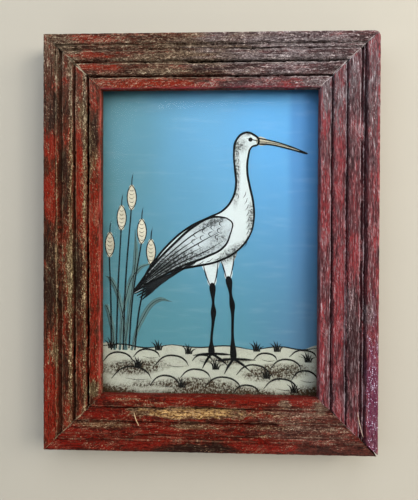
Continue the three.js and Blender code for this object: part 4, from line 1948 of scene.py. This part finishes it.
@dataclass(frozen=True)
class Bank:
    """The pale stony bank along the bottom, with pebbles, stippled shade and tufts of grass."""

    ground: tuple[Place, ...] = (
        (-66, -62), (-52, -60.5), (-38, -62.5), (-22, -60.5), (-6, -62), (10, -60.8), (26, -63),
        (42, -61), (54, -62.5), (66, -61), (66, -92), (0, -92), (-66, -92),
    )
    stones: tuple[Four, ...] = (
        (-54, -70, 9, 4.5), (-37, -67, 8, 3.5), (-22, -72, 10, 5), (-46, -80, 12, 6), (-26, -84, 9, 5),
        (-8, -79, 9, 4), (8, -85, 11, 5.5), (26, -77, 10, 5), (33, -68, 7, 3), (45, -73, 9, 4.5),
        (56, -80, 8, 5), (42, -85, 10, 5), (55, -66, 8, 3), (-4, -69, 6, 2.5), (22, -88, 8, 4),
    )
    tufts: tuple[Place, ...] = ((-58, -63), (-30, -64), (-12, -66), (28, -64), (40, -64), (58, -70),
                                (-42, -74), (4, -75), (34, -80), (-16, -86), (50, -88))

    def paint(self) -> None:
        """Paints the ink lines and the pale ground with its shade."""
        ink = WashedPaint("bank_ink", "0d0e0c", "2c2c25", mottle=0.5).material()
        Film("painted_bank_lines", Behind.INK).draw([*self._stone_lines(), *self._grass()], ink)
        pale = WashedPaint("bank_paint", "bbbeae", "3a2c1b", (
            Wash(-44, -74, 24, 5.5, 4, 1.5), Wash(-4, -85, 28, 6, -3, 1.5), Wash(40, -76, 24, 6, 5, 1.5),
            Wash(60, -89, 18, 6, 0, 1.3), Wash(-58, -89, 18, 6, 0, 1.3), Wash(0, -93, 80, 7, 0, 1.1),
            Wash(8, -70, 18, 3, 0, 0.8), Wash(-34, -84, 20, 3, 3, 0.7), Wash(24, -88, 18, 4, 0, 0.9),
        ), 0.4, (200, 1, 700), 0.7, 0.5)
        Film("painted_bank", Behind.BANK).fill([self.ground], pale.material())

    def _stone_lines(self) -> list[Stroke]:
        """A curved line over each stone, and the bank's upper edge."""
        strokes = [Stroke(self.ground[start:start + 4], 0.8, 0.5, 0.4) for start in (0, 3, 6)]
        for x, z, half, rise in self.stones:
            top = ((x - half, z - 1), (x - half * 0.5, z + rise * 0.8), (x + half * 0.2, z + rise),
                   (x + half * 0.8, z + rise * 0.45), (x + half, z - 1.2))
            foot = ((x - half * 0.3, z - 0.6), (x + half * 0.3, z - 1.6), (x + half * 0.9, z - 1))
            strokes += [Stroke(top, 1.1), Stroke(foot, 0.4)]
        return strokes

    def _grass(self) -> list[Stroke]:
        """Small tufts of five blades that lean apart."""
        strokes = []
        for x, z in self.tufts:
            for blade in range(5):
                lean = (blade - 2) * 1.3
                tall = 7.2 - abs(blade - 1.4) * 1.5
                line = ((x + lean * 0.6, z), (x + lean * 0.8, z + tall * 0.6), (x + lean * 1.7, z + tall))
                strokes.append(Stroke(line, 0.85, 0.9, 0.1))
        return strokes


@dataclass(frozen=True)
class Reeds:
    """A clump of reeds at the left, their heads hatched in ink."""

    stems: tuple[Four, ...] = (
        (-55, -63, -52, 22), (-51, -64, -46, 34), (-47.5, -63, -40, 14), (-44, -64, -34.5, 2),
        (-58, -64, -59, 6),
    )
    leaves: tuple[tuple[Place, ...], ...] = (
        ((-53, -64), (-50, -36), (-42, -16), (-33, -12)),
        ((-49, -64), (-52, -40), (-58.5, -22), (-61.5, -20)),
        ((-46, -64), (-40, -46), (-30, -34), (-22, -35)),
        ((-56, -64), (-58, -48), (-61, -38), (-62, -37)),
        ((-50, -64), (-46, -30), (-43.5, -6), (-44, 8)),
    )
    head_length: float = 15.0
    head_width: float = 4.2

    def paint(self) -> None:
        """Paints the reeds' lines, heads and leaves."""
        ink = WashedPaint("reed_ink", "0a0c0d", "262b2d", mottle=0.4).material()
        Film("painted_reed_lines", Behind.INK).draw(self._lines(), ink)
        leaf = WashedPaint("reed_leaf", "5f7f7e", "2b3f42", mottle=1.2, brush_cells=(300, 1, 120))
        blades = [Stroke(line, 3.0, 0.5, 0.05) for line in self.leaves]
        Film("painted_reed_leaves", Behind.DETAILS).draw(blades, leaf.material())
        head = WashedPaint("reed_head", "d9d4bd", "7d745c", mottle=1.0)
        heads = [self._head(x1, z1) for _, _, x1, z1 in self.stems]
        Film("painted_reed_heads", Behind.DETAILS).fill(heads, head.material())

    def _head(self, x: float, z: float) -> tuple[Place, ...]:
        """A long oval round the top of a stem."""
        half, low = self.head_width / 2, z - self.head_length
        return ((x, z), (x + half, z - 3.5), (x + half, low + 3.5), (x - 0.3, low), (x - half, low + 3.5),
                (x - half, z - 3.5))

    def _lines(self) -> list[Stroke]:
        """The stems, the leaves' middle lines, and the heads' outlines and hatching."""
        strokes = []
        for x0, z0, x1, z1 in self.stems:
            low = z1 - self.head_length
            stem = ((x0, z0), (x0 + (x1 - x0) * 0.3, (z0 + low) / 2), (x1 - 0.3, low))
            tip = ((x1, z1), (x1 + 0.2, z1 + 3.5), (x1 + 0.9, z1 + 7))
            strokes += [Stroke(stem, 0.9, 0.9, 0.8), Stroke(tip, 0.6, 0.9, 0.1)]
            head = self._head(x1, z1)
            strokes.append(Stroke(head[:4], 0.6, 0.7, 0.7))
            strokes.append(Stroke((head[3], head[4], head[5], head[0]), 0.6, 0.7, 0.7))
            for row in range(5):
                z = z1 - 3.2 - 2.3 * row
                half = self.head_width * 0.38
                strokes.append(Stroke(((x1 - half, z + 0.5), (x1, z - 0.5), (x1 + half, z + 0.5)), 0.35))
        strokes += [Stroke(line, 0.45, 0.6, 0.2) for line in self.leaves]
        return strokes


class Painting:
    """The picture on the back of the pane, nearest paint first."""

    SKY_THICKNESS = 0.05

    def build(self) -> None:
        """Paints the bird, the reeds, the bank and the sky."""
        Bird().paint()
        Reeds().paint()
        Bank().paint()
        self._sky()

    def _sky(self) -> None:
        """Lays the sky behind everything, as large as the pane."""
        low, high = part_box("glass_pane")
        centre = ((low[0] + high[0]) / 2, (SIZES.pane_back + Behind.SKY.value) * MM, (low[2] + high[2]) / 2)
        film = new_piece("painted_sky", bpy.ops.mesh.primitive_plane_add, size=1,
                         rotation=(math.pi / 2, 0, 0), location=centre)
        film.scale = (high[0] - low[0], high[2] - low[2], 1)
        settle(film)
        apply_modifier(film, "SOLIDIFY", thickness=self.SKY_THICKNESS * MM, offset=-1.0)
        dress(film, SkyPaint().material())
        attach(film, BODY)


@dataclass(frozen=True)
class SoftLight:
    """A soft square light that faces the frame: its place and side in metres, its power in watts."""

    name: str
    place: Spot
    size: float
    power: float
    colour: str

    def build(self) -> None:
        """Hangs the light and turns it to the frame's middle."""
        data = bpy.data.lights.new(self.name, "AREA")
        data.size = self.size
        data.energy = self.power
        data.color = rgb(self.colour)[:3]
        light = bpy.data.objects.new(self.name, data)
        bpy.context.collection.objects.link(light)
        light.location = self.place
        aim = Vector((0, 0, SIZES.middle * MM)) - Vector(self.place)
        light.rotation_euler = aim.to_track_quat("-Z", "Y").to_euler()


LIGHTS = (
    SoftLight("window_right", (0.85, -0.55, 0.2), 0.6, 9.0, "fff6ea"),
    SoftLight("front_right", (0.7, -0.95, 0.15), 0.5, 8.0, "fffaf2"),
    SoftLight("fill_left", (-0.8, -0.9, 0.3), 1.0, 8.0, "eaf2ff"),
    SoftLight("fill_above", (0.1, -0.8, 0.75), 0.8, 8.0, "f8faff"),
    SoftLight("fill_behind", (-0.6, 1.2, 0.5), 1.2, 22.0, "ffffff"),
)


@dataclass(frozen=True)
class Camera:
    """The camera before the frame: its place in millimetres from the middle, its turn in degrees."""

    place: Spot = (1.3, -251.2, 9.5)
    turn: Spot = (90 - 0.55, -0.19, 1.88)
    lens: float = 30.1
    film_width: float = 36.0
    shift: Place = (0.0221, -0.0392)
    nearest: float = 10.0

    def build(self) -> None:
        """Puts the camera in its place and makes it the scene's own."""
        data = bpy.data.cameras.new("camera")
        data.sensor_width = self.film_width
        data.lens = self.lens
        data.clip_start = self.nearest * MM
        data.shift_x, data.shift_y = self.shift
        camera = bpy.data.objects.new("camera", data)
        bpy.context.collection.objects.link(camera)
        x, y, z = self.place
        camera.location = (x * MM, y * MM, (SIZES.middle + z) * MM)
        camera.rotation_euler = [math.radians(degrees) for degrees in self.turn]
        bpy.context.scene.camera = camera


@dataclass(frozen=True)
class Stage:
    """A pale wall behind the frame, a pale floor below, and soft window light from the right.

    The wall's gap is in millimetres, and the other sizes are in metres.
    """

    wall_gap: float = 0.6
    wall_size: float = 3.0
    floor_drop: float = 0.9
    floor_size: float = 2.4
    wall_tone: str = "a8a498"
    floor_tone: str = "d8d3c8"
    grit_tone: str = "c9c2b4"
    room_tone: str = "e8ecf2"
    room_strength: float = 0.14

    def build(self) -> None:
        """Sets up the wall, the floor, the lights and the camera."""
        self._wall()
        self._floor()
        self._world()
        for light in LIGHTS:
            light.build()
        Camera().build()

    def _plain(self, name: str, tone: str) -> Sheet:
        """A plain pale finish with a faint grit.

        Args:
            name: the material's name.
            tone: its colour.

        Returns:
            The sheet, for more to be added.
        """
        sheet = Sheet(name)
        grit = sheet.noise(sheet.object_place(), 60, rough=0.5)
        sheet.finish(Base_Color=Layers(sheet, tone).over(grit * 0.06, self.grit_tone), Roughness=0.9)
        return sheet

    def _plaster(self) -> bpy.types.Material:
        """The wall's finish, clear from behind so that the back of the frame can be looked at."""
        sheet = self._plain("pale_plaster", self.wall_tone)
        mix = sheet.add("ShaderNodeMixShader")
        sheet.feed(mix.inputs[0], sheet.put("NewGeometry", "Backfacing"))
        sheet.feed(mix.inputs[1], sheet.shader.outputs[0])
        sheet.feed(mix.inputs[2], sheet.put("BsdfTransparent", "BSDF"))
        sheet.feed(sheet.tree.nodes["Material Output"].inputs["Surface"], mix.outputs[0])
        return sheet.material

    def _wall(self) -> None:
        """The pale wall just behind the frame, which leaves the light on the frame's back free."""
        wall = new_piece("pale_wall", bpy.ops.mesh.primitive_plane_add, size=self.wall_size,
                         rotation=(math.pi / 2, 0, 0), location=(0, self.wall_gap * MM, 0))
        settle(wall)
        wall.visible_shadow = wall.visible_diffuse = False
        dress(wall, self._plaster())

    def _floor(self) -> None:
        """The pale floor below the frame."""
        floor = new_piece("pale_floor", bpy.ops.mesh.primitive_plane_add, size=self.floor_size,
                          location=(0, 0, -self.floor_drop))
        dress(floor, self._plain("pale_floor", self.floor_tone).material)

    def _world(self) -> None:
        """An even pale surround."""
        world = bpy.data.worlds.new("pale_room")
        bpy.context.scene.world = world
        world.use_nodes = True
        background = world.node_tree.nodes["Background"]
        background.inputs["Color"].default_value = rgb(self.room_tone)
        background.inputs["Strength"].default_value = self.room_strength


def main() -> None:
    """Builds the stage, the rails and the picture in order."""
    logging.basicConfig(level=logging.INFO, format="%(name)s: %(message)s")
    bpy.context.scene.view_settings.view_transform = "Standard"
    Stage().build()
    Rails().build()
    for splinter in SPLINTERS:
        splinter.build()
    dress(frame["nodes"]["glass_pane"], PaneGlass().material())
    dress_back()
    Painting().build()


if __name__ == "__main__":
    main()
